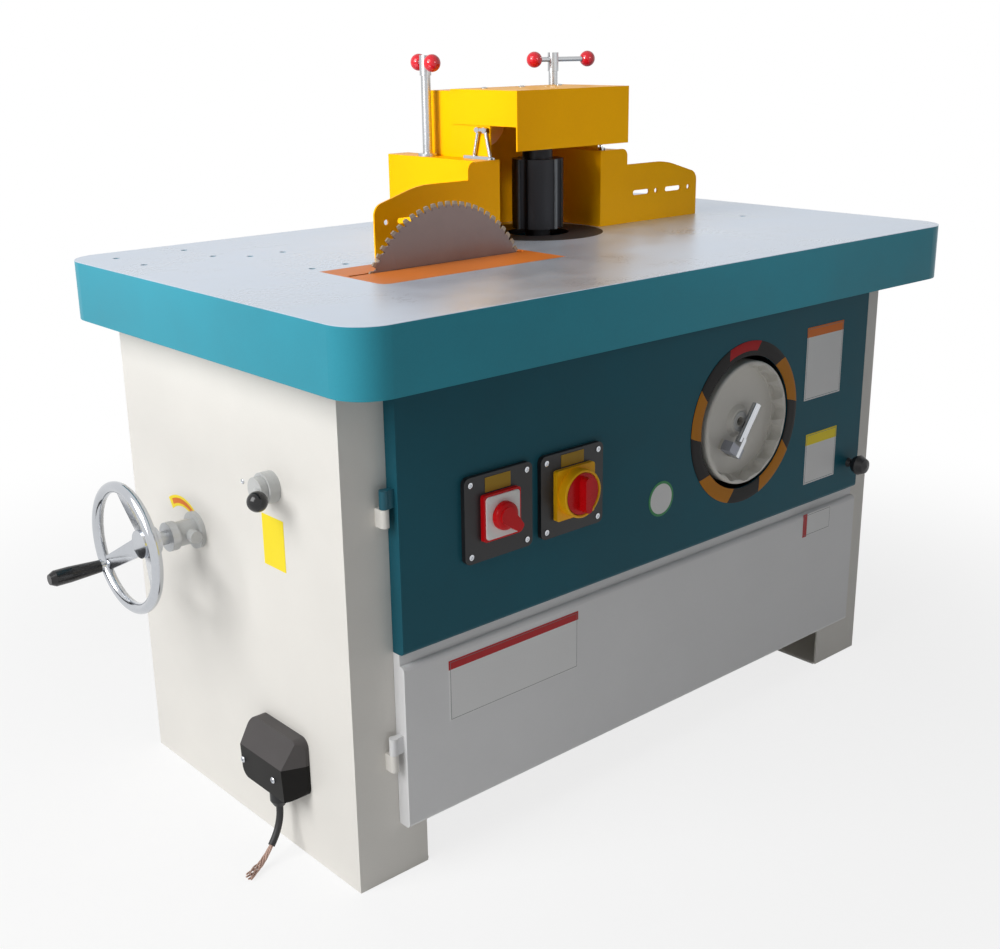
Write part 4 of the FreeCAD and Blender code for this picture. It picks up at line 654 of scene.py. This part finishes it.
def screw_head(radius: float, height: float, turn: float = 0.5, steps: int = 32) -> np.ndarray:
    """A domed head with a cross recess.

    The head's height over a point at share s of the radius is the height times the square root of
    1 - fall s^2. The recess takes a share of it away where the point lies in one of two crossing bars.

    Args:
        radius: the head's radius.
        height: its height in the middle.
        turn: how far the cross is turned, in radians.
        steps: points round.

    Returns:
        Rows of rings from the back edge to the middle.
    """
    fall, recess, innermost, rings = 0.75, 0.6, 0.04, 10
    side, end = (0.1, 0.2), (0.5, 0.64)
    share = np.concatenate([[1.0], np.linspace(1.0, innermost, rings)])[:, None]
    angles = np.arange(steps)[None, :] * 2 * math.pi / steps
    across = np.abs(share * np.cos(angles - turn))
    along = np.abs(share * np.sin(angles - turn))
    bar = np.maximum((1 - smooth_step(*side, across)) * (1 - smooth_step(*end, along)),
                     (1 - smooth_step(*side, along)) * (1 - smooth_step(*end, across)))
    level = height * (np.sqrt(1 - fall * share**2) - recess * bar)
    level[0] = SUNK
    return polar(radius * share, angles, level)


def sweep(path: np.ndarray, radius: float, steps: int = 10) -> np.ndarray:
    """A round tube along a path: at each point a circle across the path's direction.

    A circle's first direction is the path's crossed with a fixed sideways one, its second the cross of
    both.

    Args:
        path: points along the middle.
        radius: the tube's radius.
        steps: points round.

    Returns:
        Rows of circles along the path.
    """
    sideways = np.array([0.35, -0.9, 0.26])
    along = unit(np.gradient(path, axis=0))
    first = unit(np.cross(along, sideways))
    second = np.cross(along, first)
    angles = (np.arange(steps) * 2 * math.pi / steps)[None, :, None]
    circle = np.cos(angles) * first[:, None, :] + np.sin(angles) * second[:, None, :]
    return path[:, None, :] + radius * circle


@dataclass(frozen=True)
class PrintedPlate:
    """A thin bare plate with a coloured band and a ruled edge.

    Attributes:
        name: the piece's name.
        left: left edge along the facing's right-hand direction, in millimetres.
        right: right edge.
        low: lower edge.
        high: upper edge.
        band: level above which the band lies, or the line that it lies left of when it is upright.
        band_tone: the band's colour.
        sheet_tone: the plate's colour.
        rule_tone: the ruled edge's colour.
        upright: whether the band runs up the left side.
    """

    name: str
    left: float
    right: float
    low: float
    high: float
    band: float
    band_tone: np.ndarray
    sheet_tone: np.ndarray
    rule_tone: np.ndarray
    upright: bool = False

    @staticmethod
    def lines(low: float, inner: float, high: float) -> np.ndarray:
        """Grid lines from edge to edge: each edge twice, both sides of each rule, and one line between.

        Args:
            low: the left or lower edge.
            inner: the line between.
            high: the right or upper edge.

        Returns:
            The lines' places, in rising order.
        """
        rise = [low, low, low + PLATE_MARGIN, low + PLATE_MARGIN + PLATE_RULE]
        fall = [high - PLATE_MARGIN - PLATE_RULE, high - PLATE_MARGIN, high, high]
        return np.array([*rise, inner, *fall])

    def build(self, facing: Facing, at: Triple, body: str, slot: str) -> None:
        """Makes the plate as a grid whose lines follow the band and the ruled edge.

        The outer line is sunk and all others are raised by the plate's thickness. A cell takes the band's,
        the rule's or the plate's colour from where its middle lies.

        Args:
            facing: which way the plate looks.
            at: the place its edges are measured from.
            body: the body it rides on.
            slot: the record's material slot.
        """
        middle_right, middle_up = 0.5 * (self.left + self.right), 0.5 * (self.low + self.high)
        across = self.lines(self.left, self.band if self.upright else middle_right, self.right)
        upward = self.lines(self.low, middle_up if self.upright else self.band, self.high)
        right, up = np.meshgrid(across, upward)
        out = np.full(right.shape, PLATE_THICK)
        out[[0, -1], :] = SUNK
        out[:, [0, -1]] = SUNK
        cell_right, cell_up = np.meshgrid(*(0.5 * (line[1:] + line[:-1]) for line in (across, upward)))
        edge = np.minimum(np.minimum(cell_right - self.left, self.right - cell_right),
                          np.minimum(cell_up - self.low, self.high - cell_up))
        banded = cell_right < self.band if self.upright else cell_up > self.band
        ruled = (edge > PLATE_MARGIN) & (edge < PLATE_MARGIN + PLATE_RULE)
        tone = np.where(banded[..., None], self.band_tone, self.sheet_tone)
        tone = np.where(ruled[..., None], self.rule_tone, tone)
        grid = facing.stand(np.stack([right, up, out], axis=-1), at)
        fitting(self.name, [grid], PRINTED_FILM, slot, body, wrap=False, tone=tone)


DOOR_PLATES = (
    PrintedPlate("upper_plate", 332, 429, 513, 633, 617, PRINT_ORANGE, PAPER_WHITE, PRINT_GREY),
    PrintedPlate("middle_plate", 344, 428, 368, 454, 435, PRINT_YELLOW, PAPER_WHITE, PRINT_GREY),
    PrintedPlate("corner_plate", 351, 427, 273, 313, 361, PRINT_RED, PAPER_WHITE, PRINT_GREY, upright=True),
    PrintedPlate("lower_plate", -418, -179, 212, 300, 287, PRINT_RED, PAPER_WHITE, PRINT_GREY),
)
# The switch tags are flat ochre all over: their yellow is darkened as painted shade.
SWITCH_TAGS = (
    PrintedPlate("selector_tag", -356, -312, 521, 541, 531, SHADED_TAG_YELLOW, SHADED_TAG_YELLOW, SHADED_TAG_YELLOW),
    PrintedPlate("isolator_tag", -220, -177, 525, 542, 533.5, SHADED_TAG_YELLOW, SHADED_TAG_YELLOW, SHADED_TAG_YELLOW),
)
SIDE_PLATE = PrintedPlate("side_plate", 78, 129, 418, 489, 454, PRINT_YELLOW, PRINT_YELLOW, PRINT_YELLOW)


@dataclass
class CadFinishes:
    """Finishes of the machine's own solids.

    Attributes:
        finishes: the nodes that have each finish.
        patches: a second finish on some nodes.
    """

    finishes: dict[Finish, tuple[str, ...]]
    patches: dict[str, Patch]

    def dress(self) -> None:
        """Puts each node's finish into its object's material slots."""
        for finish, nodes in self.finishes.items():
            for name in nodes:
                made = SHOP.material(finish, self.patches.get(name))
                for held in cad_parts[name].material_slots:
                    held.material = made
                log.info("%s: %s", name, made.name)


@dataclass
class DoorTrim:
    """Printed plates, the hazard ring on the door and the ring on the front wheel's hub, in millimetres.

    Attributes:
        wheel: the hazard ring's middle, on the door's face.
        hub: the middle of the front wheel's hub, on its face.
        ring_inner: inner radius of the hazard ring.
        ring_outer: outer radius.
        ring_section: share of the way across the ring from outside, and level, of each row of points.
        slant: how far a mark's ends lean, in degrees across the ring.
        marks: start and end angle of each mark, the row of faces that it stops at, and its colour.
        seal: the round plate's middle, on the door's face.
        seal_section: radius and level of the round plate, from the edge inwards.
        seal_rim: how many of its rows of faces are coloured.
        hub_section: radius and level round the hub's ring.
    """

    wheel: Triple = (183.0, DOOR_FACE, 507.0)
    hub: Triple = (183.0, -274.5, 507.0)
    ring_inner: float = 105.0
    ring_outer: float = 128.0
    ring_section: Section = (
        (0.0, SUNK), (0.0, 0.8), (0.04, 1.1), (0.3, 1.1), (0.66, 1.1), (0.96, 1.1), (1.0, 0.8), (1.0, SUNK),
        (0.0, SUNK))
    slant: float = 5.0
    marks: tuple[tuple[int, int, int, np.ndarray], ...] = (
        (76, 110, 4, PRINT_RED), (5, 44, 6, HAZARD_ORANGE), (-72, -31, 6, HAZARD_ORANGE),
        (-146, -107, 6, HAZARD_ORANGE), (147, 180, 6, HAZARD_ORANGE))
    seal: Triple = (-8.0, DOOR_FACE, 428.0)
    seal_section: Section = (
        (27.0, SUNK), (27.0, 0.4), (25.65, 0.5), (23.22, 0.5), (13.5, 0.5), (0.54, 0.5))
    seal_rim: int = 3
    hub_section: Section = (
        (16.2, SUNK), (16.2, 0.9), (15.4, 1.6), (12.2, 1.6), (11.4, 0.9), (9.6, 0.7), (8.8, 0.2),
        (8.4, SUNK), (16.2, SUNK))

    def hazard_ring(self) -> None:
        """Makes a flat ring round the wheel, black with coloured marks.

        At angle a and share s across the ring the point lies at the radius between outer and inner, turned
        by a plus the slant times s. The colour changes at the marks' end angles.
        """
        share, level = np.array(self.ring_section).T[..., None]
        degrees = np.arange(-180, 180)
        radius = self.ring_outer + (self.ring_inner - self.ring_outer) * share
        grid = polar(radius, np.radians(degrees + self.slant * share), level)
        tone = np.broadcast_to(PRINT_BLACK, (len(share) - 1, degrees.size, 3)).copy()
        for start, end, stop, colour in self.marks:
            tone[1:stop, (degrees >= start) & (degrees < end)] = colour
        placed = Facing.FRONT.stand(grid, self.wheel)
        fitting("hazard_ring", [placed], PRINTED_RING, "black_plastic", "door", caps=False, tone=tone)

    def hub_ring(self) -> None:
        """Makes a raised ring round the wheel's hub hole: a section carried round the axis. It is pale grey
        in place of the hub's cream plastic, as painted shade.
        """
        placed = Facing.FRONT.stand(lathe(self.hub_section, 56), self.hub)
        fitting("hub_ring", [placed], PALE_GREY, "cream_plastic", "handwheel", SHARP_TURNED, caps=False)

    def round_plate(self) -> None:
        """Makes a round plate: circles from the edge inwards, with a coloured ring near the edge."""
        placed = Facing.FRONT.stand(lathe(self.seal_section, 48), self.seal)
        plain = len(self.seal_section) - 1 - self.seal_rim
        tone = np.array([PRINT_GREEN] * self.seal_rim + [PAPER_WHITE] * plain)[:, None, :]
        fitting("round_plate", [placed], PRINTED_FILM, "cream_plastic", "door", tone=tone)

    def build(self) -> None:
        """Makes the rings and every plate on the door."""
        self.hazard_ring()
        self.hub_ring()
        self.round_plate()
        for plate in DOOR_PLATES:
            plate.build(Facing.FRONT, (0, DOOR_FACE, 0), "door", "cream_plastic")


@dataclass
class SwitchTrim:
    """Screws, small plates and bezels of the two switches, in millimetres.

    Attributes:
        selector: x and z of the selector's middle.
        isolator: x and z of the isolator's middle.
        plate_face: face of the black plates along y.
        base_face: face of the switches' bases along y.
        collar_face: face of the isolator's collar along y.
        screw_apart: how far the plate screws lie from the middle.
        screw: radius and height of their heads.
        dial_side: side of the selector's square dial.
        dial_corner: its corner radius.
        dial_hole: radius of its hole.
        dial_section: share of the way from the hole to the outline, and level, round the dial's section.
        shoulder: radius and level of the selector's round shoulder, from the base outwards.
        bead_radius: radius of the isolator's bead.
        bead_half: half the bead's width.
        bead_rise: the bead's height.
    """

    selector: Pair = (-332.0, 487.0)
    isolator: Pair = (-198.0, 487.0)
    plate_face: float = -291.5
    base_face: float = -298.5
    collar_face: float = -311.5
    screw_apart: float = 49.0
    screw: Pair = (4.0, 2.2)
    dial_side: float = 58.5
    dial_corner: float = 5.0
    dial_hole: float = 15.5
    dial_section: Section = (
        (1.0, SUNK), (1.0, 1.2), (0.97, 1.6), (0.5, 1.6), (0.0, 1.6), (0.0, SUNK), (1.0, SUNK))
    shoulder: Section = (
        (19.4, 2.0), (19.4, 7.0), (18.6, 9.4), (16.4, 11.2), (13.0, 12.0), (6.0, 12.4), (0.4, 12.4))
    bead_radius: float = 32.0
    bead_half: float = 2.0
    bead_rise: float = 1.8

    def plate_screws(self) -> None:
        """Makes four cross-head screws at the corners of each black plate."""
        corners = np.array([[-1, -1], [1, -1], [1, 1], [-1, 1]]) * self.screw_apart
        middles = np.array([self.selector, self.isolator])
        places = [(x, self.plate_face, z) for middle in middles for x, z in corners + middle]
        screws("switch_screws", screw_head(*self.screw), Facing.FRONT, places, CHROME, "door")

    def selector_dial(self) -> None:
        """Makes a white square dial with a round hole for the knob.

        A point at angle a and share s lies between the hole's circle and the rounded square's outline there.
        """
        square = rounded_outline(self.dial_side, self.dial_side, self.dial_corner, 12)
        angles = np.arctan2(square[:, 1], square[:, 0])
        hole = self.dial_hole * np.column_stack([np.cos(angles), np.sin(angles)])
        share, level = np.array(self.dial_section).T
        share = share[:, None, None]
        grid = lifted(hole * (1 - share) + square * share, level)
        placed = Facing.FRONT.stand(grid, (self.selector[0], self.base_face, self.selector[1]))
        fitting("selector_dial", [placed], WHITE_PLASTIC, "cream_plastic", "door", caps=False)

    def selector_collar(self) -> None:
        """Makes a round shoulder about the selector's pointer: a profile carried round the axis."""
        grid = lathe(self.shoulder, 56)
        placed = Facing.FRONT.stand(grid, (self.selector[0], self.base_face, self.selector[1]))
        fitting("selector_collar", [placed], RED_PLASTIC, "red_plastic", "selector")

    def isolator_rim(self) -> None:
        """Makes a raised round bead on the isolator's collar: half an ellipse of section carried round."""
        turn = np.linspace(0, math.pi, 9)
        section = np.column_stack([self.bead_radius + self.bead_half * np.cos(turn),
                                   self.bead_rise * np.sin(turn) + SUNK])
        grid = lathe(np.concatenate([section, section[:1]]), 64)
        placed = Facing.FRONT.stand(grid, (self.isolator[0], self.collar_face, self.isolator[1]))
        fitting("isolator_rim", [placed], YELLOW_PLASTIC, "yellow_plastic", "door", SHARP_ROUND, caps=False)

    def build(self) -> None:
        """Makes the switches' trim."""
        self.plate_screws()
        self.selector_dial()
        self.selector_collar()
        self.isolator_rim()
        for tag in SWITCH_TAGS:
            tag.build(Facing.FRONT, (0, self.plate_face, 0), "door", "yellow_plastic")


@dataclass
class SideTrim:
    """Plates and screws on the left panel and the inlet, in millimetres.

    Attributes:
        panel: the left panel's face along x.
        arc_middle: y and z of the middle of the arc plate above the boss.
        arc_radius: the arc's radius.
        arc_span: angles of its ends, in degrees.
        arc_half: half its width at the two ends.
        arc_section: share of the half width, and level, across the arc.
        arc_steps: how many rows of points there are along the arc.
        core: the column of faces that has another colour.
        core_inset: how many rows of faces the core stays away from the ends.
        inlet: y and z midway between the inlet's screws.
        inlet_face: the inlet's lower face along x.
        inlet_apart: half the distance between the inlet's screws.
        inlet_screw: radius, height and turn of their heads.
        lone: y and z of the screw by the lever.
        lone_screw: radius and height of its head.
    """

    panel: float = -559.0
    arc_middle: Pair = (140.5, 391.6)
    arc_radius: float = 57.8
    arc_span: Pair = (124.0, 32.0)
    arc_half: Pair = (9.0, 4.5)
    arc_section: Section = ((1.0, SUNK), (1.0, 0.6), (0.5, 0.6), (-0.5, 0.6), (-1.0, 0.6), (-1.0, SUNK))
    arc_steps: int = 25
    core: int = 2
    core_inset: int = 2
    inlet: Pair = (-84.0, 125.0)
    inlet_face: float = -595.8
    inlet_apart: float = 38.0
    inlet_screw: Triple = (4.6, 4.2, 0.2)
    lone: Pair = (-36.0, 522.0)
    lone_screw: Pair = (3.6, 2.2)

    def arc_plate(self) -> None:
        """Makes a curved plate over the boss: a band round the arc's middle that narrows along the arc.

        At angle a the band's half width falls evenly from its wide to its narrow end. A core of another
        colour takes the middle half of the width and stays off the ends.
        """
        angles = np.radians(np.linspace(*self.arc_span, self.arc_steps))[:, None]
        half = np.linspace(*self.arc_half, self.arc_steps)[:, None]
        share, level = np.array(self.arc_section).T[:, None, :]
        grid = polar(self.arc_radius + share * half, angles, level)
        tone = np.broadcast_to(PRINT_YELLOW, (self.arc_steps - 1, share.size, 3)).copy()
        tone[self.core_inset:-self.core_inset, self.core] = PRINT_ORANGE
        placed = Facing.LEFT.stand(grid, (self.panel, *self.arc_middle))
        fitting("arc_plate", [placed], PRINTED_FILM, "yellow_plastic", "frame", tone=tone)

    def inlet_screws(self) -> None:
        """Makes two bright screws below the inlet's ridge."""
        y, z = self.inlet
        places = [(self.inlet_face, y + way * self.inlet_apart, z) for way in (-1, 1)]
        screws("inlet_screws", screw_head(*self.inlet_screw), Facing.LEFT, places, CHROME, "frame")

    def panel_screw(self) -> None:
        """Makes a small screw on the panel by the lever."""
        places = [(self.panel, *self.lone)]
        screws("panel_screw", screw_head(*self.lone_screw), Facing.LEFT, places, CHROME, "frame")

    def build(self) -> None:
        """Makes the left side's trim."""
        self.arc_plate()
        self.inlet_screws()
        self.panel_screw()
        SIDE_PLATE.build(Facing.LEFT, (self.panel, 0, 0), "frame", "yellow_plastic")


@dataclass
class FenceTrim:
    """Screws on the visor's top and the latches' sleeves, rollers and bases, in millimetres.

    Attributes:
        visor_top: level of the visor's top.
        visor_places: x and y of its screws.
        visor_screw: radius, height and turn of their heads.
        walls: x of the hood's sides, and which way each looks.
        latch_y: the latches' middle.
        latch_low: level of the wings' top, where the latches stand.
        latch_high: level of their studs.
        sleeve_out: how far the sleeves and rollers lie off the hood's sides.
        foot: how far a sleeve's foot lies from the middle and above the wing.
        head: how far its head lies from the middle and below the stud.
        sleeve_radius: a sleeve's radius.
        roller_half: half a roller's length.
        roller_radius: a roller's radius.
        base: width, length and corner radius of a latch's base.
        base_section: share of its outline, and level, from the wing upwards.
        base_out: how far its middle lies off the hood's side.
        base_back: how far its middle lies behind the latch's.
    """

    visor_top: float = 1003.0
    visor_places: tuple[Pair, ...] = ((-10.0, 96.0), (68.0, 96.0), (150.0, 96.0))
    visor_screw: Triple = (5.0, 2.6, 0.9)
    walls: tuple[tuple[float, int], ...] = ((-45.5, -1), (187.5, 1))
    latch_y: float = 58.0
    latch_low: float = 901.0
    latch_high: float = 944.0
    sleeve_out: float = 4.0
    foot: Pair = (18.6, 3.0)
    head: Pair = (8.6, 2.0)
    sleeve_radius: float = 2.7
    roller_half: float = 14.0
    roller_radius: float = 3.8
    base: Triple = (9.0, 64.0, 3.0)
    base_section: Section = ((1.0, SUNK), (1.0, 3.8), (0.9, 4.8))
    base_out: float = 5.2
    base_back: float = 8.0

    @staticmethod
    def rod(start: Triple, end: Triple, radius: float, steps: int) -> np.ndarray:
        """A straight round rod between two places, with a number of points round."""
        return sweep(metres(np.linspace(start, end, 6)), radius * MILLIMETRE, steps)

    def latch_sleeves(self) -> None:
        """Makes stout sleeves over the latches' wires and a roller over their studs: straight rods."""
        rods = []
        y, low, high = self.latch_y, self.latch_low + self.foot[1], self.latch_high - self.head[1]
        for wall, side in self.walls:
            x = wall + self.sleeve_out * side
            for way in (-1, 1):
                foot = (x, y + way * self.foot[0], low)
                head = (x, y + way * self.head[0], high)
                rods.append(self.rod(foot, head, self.sleeve_radius, 16))
            ends = [(x, y + way * self.roller_half, self.latch_high) for way in (-1, 1)]
            rods.append(self.rod(*ends, self.roller_radius, 20))
        fitting("latch_sleeves", rods, CHROME, "bright_steel", "fence")

    def latch_bases(self) -> None:
        """Makes a base under each latch: a rounded outline, raised and drawn in a little at the top."""
        share, level = np.array(self.base_section).T
        grid = lifted(rounded_outline(*self.base) * share[:, None, None], level)
        places = [(wall + self.base_out * side, self.latch_y + self.base_back, self.latch_low)
                  for wall, side in self.walls]
        bases = [Facing.TOP.stand(grid, at) for at in places]
        fitting("latch_bases", bases, CHROME, "bright_steel", "fence")

    def visor_screws(self) -> None:
        """Makes the screws on the visor's top."""
        head = screw_head(*self.visor_screw)
        places = [(x, y, self.visor_top) for x, y in self.visor_places]
        screws("visor_screws", head, Facing.TOP, places, BRIGHT_STEEL, "visor_cover")

    def build(self) -> None:
        """Makes the fence's trim."""
        self.latch_sleeves()
        self.latch_bases()
        self.visor_screws()


@dataclass
class SupplyCord:
    """The short supply cord and its bare twisted conductors, in metres.

    Attributes:
        leaves: where the cord leaves its gland.
        route: control points of its line, from where it leaves.
        diameter: the jacket's diameter.
        strands: control points of the conductors' line, from where the cord leaves.
        wires: how many conductors there are.
        wire_radius: a conductor's radius.
        twist: turns of the conductors over their length.
        gather: how far the conductors lie from their line where they leave the jacket.
        spread: how much farther they may lie at their tips.
        fans: shares of the spread, taken in turn.
    """

    leaves: Triple = (-0.5065, -0.109, 0.076)
    route: tuple[Triple, ...] = (
        (0, 0, 0), (0, 0, -0.012), (-0.0024, -0.0008, -0.0237), (-0.007, -0.0024, -0.0347),
        (-0.0136, -0.0047, -0.0444), (-0.022, -0.0076, -0.0524))
    diameter: float = 0.010
    strands: tuple[Triple, ...] = (
        (-0.0205, -0.0071, -0.051), (-0.031, -0.0107, -0.0594), (-0.043, -0.015, -0.0662),
        (-0.057, -0.0205, -0.0702), (-0.071, -0.027, -0.0704))
    wires: int = 6
    wire_radius: float = 0.0013
    twist: float = 0.8
    gather: float = 0.0016
    spread: float = 0.0038
    fans: tuple[float, ...] = (0.55, 0.7, 0.85, 1.0)

    def line(self, name: str, points: tuple[Triple, ...]) -> bpy.types.Curve:
        """A smooth open line over control points.

        Args:
            name: the curve's name.
            points: control points, from where the cord leaves.

        Returns:
            The curve.
        """
        curve = bpy.data.curves.new(name, "CURVE")
        curve.dimensions = "3D"
        spline = curve.splines.new("NURBS")
        spline.points.add(len(points) - 1)
        places = np.column_stack([np.array(points) + np.array(self.leaves), np.ones(len(points))])
        spline.points.foreach_set("co", places.ravel())
        spline.order_u = 3
        spline.use_endpoint_u = True
        spline.resolution_u = 16
        return curve

    def followed(self, points: tuple[Triple, ...]) -> np.ndarray:
        """Points along the smooth line over control points, read from the curve itself.

        Args:
            points: control points, from where the cord leaves.

        Returns:
            Points along the line, in metres.
        """
        holder = bpy.data.objects.new("conductor_line", self.line("conductor_line", points))
        mesh = bpy.data.meshes.new_from_object(holder)
        places = np.empty(len(mesh.vertices) * 3)
        mesh.vertices.foreach_get("co", places)
        bpy.data.meshes.remove(mesh)
        curve = holder.data
        bpy.data.objects.remove(holder)
        bpy.data.curves.remove(curve)
        return places.reshape(-1, 3)

    def conductors(self) -> Thing:
        """Bare conductors twisted about the cord's end.

        Each runs round the line at a radius that grows towards its tip, at its own phase plus the twist
        times the share of the way along.

        Returns:
            The conductors as one piece.
        """
        middle = self.followed(self.strands)
        along = unit(np.gradient(middle, axis=0))
        aside = unit(np.cross(along, np.array([0.0, 0.0, 1.0])))
        above = np.cross(aside, along)
        share = np.linspace(0, 1, len(middle))[:, None]
        tubes = []
        for number in range(self.wires):
            phase = 2 * math.pi * (number / self.wires + self.twist * share)
            reach = self.gather + self.spread * share * self.fans[number % len(self.fans)]
            path = middle + reach * (np.cos(phase) * aside + np.sin(phase) * above)
            tubes.append(sweep(path, self.wire_radius))
        return fitting("bare_conductors", tubes, COPPER_STRAND, "cord_rubber", "frame", SHARP_ROUND)

    def build(self) -> None:
        curve = self.line("cord_jacket", self.route)
        curve.bevel_depth = self.diameter / 2
        curve.bevel_resolution = 6
        curve.use_fill_caps = True
        curve.materials.append(SHOP.material(CORD_RUBBER))
        jacket = bpy.data.objects.new("cord_jacket", curve)
        bpy.context.scene.collection.objects.link(jacket)
        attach(jacket, "frame")
        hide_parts("supply_cord")
        wires = self.conductors()
        log.info("cord_jacket: %d control points on frame", len(self.route))


@dataclass(frozen=True)
class SoftLight:
    """A soft light: a square lamp, or a spot where it has a cone.

    Attributes:
        name: the light's name.
        at: its place, in metres.
        aim: the point it looks at.
        power: its power in watts.
        size: the lamp's side, or twice the radius of the spot's source.
        cone: the angle of the spot's cone in degrees.
        fade: share of the cone over which the spot fades out.
    """

    name: str
    at: Triple
    aim: Triple
    power: float
    size: float
    cone: float | None = None
    fade: float = 0.9

    def hang(self) -> None:
        """Makes the light and hangs it at its place, looking at its point."""
        made = bpy.data.lights.new(self.name, "AREA" if self.cone is None else "SPOT")
        made.energy = self.power
        if self.cone is None:
            made.shape = "SQUARE"
            made.size = self.size
        else:
            made.spot_size = math.radians(self.cone)
            made.spot_blend = self.fade
            made.shadow_soft_size = self.size / 2
        stand = bpy.data.objects.new(self.name, made)
        turn = (Vector(self.aim) - Vector(self.at)).to_track_quat("-Z", "Y")
        stand.matrix_world = Matrix.Translation(self.at) @ turn.to_matrix().to_4x4()
        bpy.context.scene.collection.objects.link(stand)


@dataclass
class Studio:
    """Camera, floor and soft light, in metres and radians.

    Attributes:
        eye: the camera's place.
        yaw: its turn from +Y towards +X.
        pitch: how far it looks down.
        roll: its roll.
        focal_pixels: focal length in pixels of the photo.
        floor_rings: radii of the floor's rings, from its edge inwards.
        floor_level: the floor's level, a little under the machine.
        floor_tones: the floor's darkest and lightest grey.
        floor_waves: waves a metre of its mottle.
        floor_detail: detail of its mottle.
        floor_roughness: its roughness.
        fade_reach: distances from the middle between which the floor turns white to the eye.
        fade_share: shares of white at those distances.
        sky: strength of the light from all round, where the strength that is seen is 1.
        lights: the lamps and spots.
    """

    eye: Triple = (-1.34388, -1.52619, 1.07439)
    yaw: float = 0.723
    pitch: float = 0.314
    roll: float = -0.013
    focal_pixels: float = 1338.92
    floor_rings: tuple[float, ...] = (14.0, 6.0, 2.5, 0.01)
    floor_level: float = -0.0004
    floor_tones: Pair = (0.86, 0.9)
    floor_waves: float = 30.0
    floor_detail: float = 3.0
    floor_roughness: float = 0.8
    fade_reach: Pair = (0.7, 1.9)
    fade_share: Pair = (0.8, 1.0)
    sky: float = 0.13
    lights: tuple[SoftLight, ...] = (
        SoftLight("key_light", (-3.4, 0.1, 2.7), (0.0, 0.0, 0.5), power=132.0, size=2.6),
        SoftLight("front_fill", (1.6, -4.2, 1.9), (0.0, 0.0, 0.5), power=3.0, size=2.6),
        SoftLight("fence_side_spot", (-2.5, 0.2, 1.6), (0.06, 0.08, 0.97), power=190.0, size=0.5, cone=20.0),
        SoftLight("fence_front_spot", (0.3, -2.6, 1.75), (0.17, 0.0, 0.99), power=60.0, size=0.5, cone=19.0),
    )

    def camera(self) -> None:
        """Stands the camera at the photograph's place and angle."""
        turned = Matrix.Rotation(-self.yaw, 4, "Z")
        tilted = Matrix.Rotation(math.pi / 2 - self.pitch, 4, "X")
        rolled = Matrix.Rotation(self.roll, 4, "Z")
        made = bpy.data.cameras.new("photo_camera")
        made.sensor_fit = "HORIZONTAL"
        made.sensor_width = SENSOR_WIDTH
        made.lens = self.focal_pixels / IMAGE_WIDTH * SENSOR_WIDTH
        stand = bpy.data.objects.new("photo_camera", made)
        stand.matrix_world = Matrix.Translation(self.eye) @ turned @ tilted @ rolled
        bpy.context.scene.collection.objects.link(stand)
        bpy.context.scene.camera = stand

    def floor(self) -> None:
        """Lays a pale disc of rings, grey-white by the machine and white to the eye far off."""
        shell = Shell()
        shell.add(lathe([(radius, self.floor_level) for radius in self.floor_rings], 72), caps=False)
        mesh = shell.mesh("studio_floor")
        surface = Surface("studio_floor")
        dark, light = ((tone, tone, tone, 1) for tone in self.floor_tones)
        noise = surface.noise(surface.coords, self.floor_waves, self.floor_detail)
        surface.feed(surface.shader.inputs["Base Color"], surface.blend(noise, dark, light))
        surface.feed(surface.shader.inputs["Roughness"], self.floor_roughness)
        fade = surface.ramp(surface.length(surface.coords), self.fade_reach, self.fade_share, "SMOOTHSTEP")
        path = surface.add("ShaderNodeLightPath").outputs
        seen = surface.math("MAXIMUM", path["Is Camera Ray"], path["Is Glossy Ray"])
        white = surface.add("ShaderNodeEmission", {"Color": (1, 1, 1, 1), "Strength": 1.0}).outputs[0]
        parts = {0: surface.math("MULTIPLY", fade, seen), 1: surface.shader.outputs[0], 2: white}
        mixed = surface.add("ShaderNodeMixShader", parts).outputs[0]
        surface.feed(surface.tree.nodes["Material Output"].inputs["Surface"], mixed)
        mesh.materials.append(surface.material)
        made = bpy.data.objects.new("studio_floor", mesh)
        bpy.context.scene.collection.objects.link(made)

    def world(self) -> None:
        """Sets grey light all round, white where the eye, a reflection or a clear piece looks into it."""
        made = bpy.data.worlds.new("studio_world")
        graph = Graph(made)
        path = graph.add("ShaderNodeLightPath").outputs
        eye = graph.math("MAXIMUM", path["Is Camera Ray"], path["Is Glossy Ray"])
        seen = graph.math("MAXIMUM", eye, path["Is Transmission Ray"])
        backdrop = graph.tree.nodes["Background"]
        graph.feed(backdrop.inputs["Color"], (1, 1, 1, 1))
        graph.feed(backdrop.inputs["Strength"], graph.ramp(seen, (0.0, 1.0), (self.sky, 1.0)))
        bpy.context.scene.world = made

    def build(self) -> None:
        """Sets up the studio."""
        bpy.context.scene.view_settings.view_transform = "Standard"
        self.camera()
        self.floor()
        for light in self.lights:
            light.hang()
        self.world()


def main() -> None:
    """Builds the studio, the finishes and every trim piece in order."""
    logging.basicConfig(level=logging.INFO, format="%(name)s: %(message)s")
    Studio().build()
    SupplyCord().build()
    CadFinishes(NODE_FINISHES, NODE_PATCHES).dress()
    DoorTrim().build()
    SwitchTrim().build()
    SideTrim().build()
    FenceTrim().build()


if __name__ == "__main__":
    main()
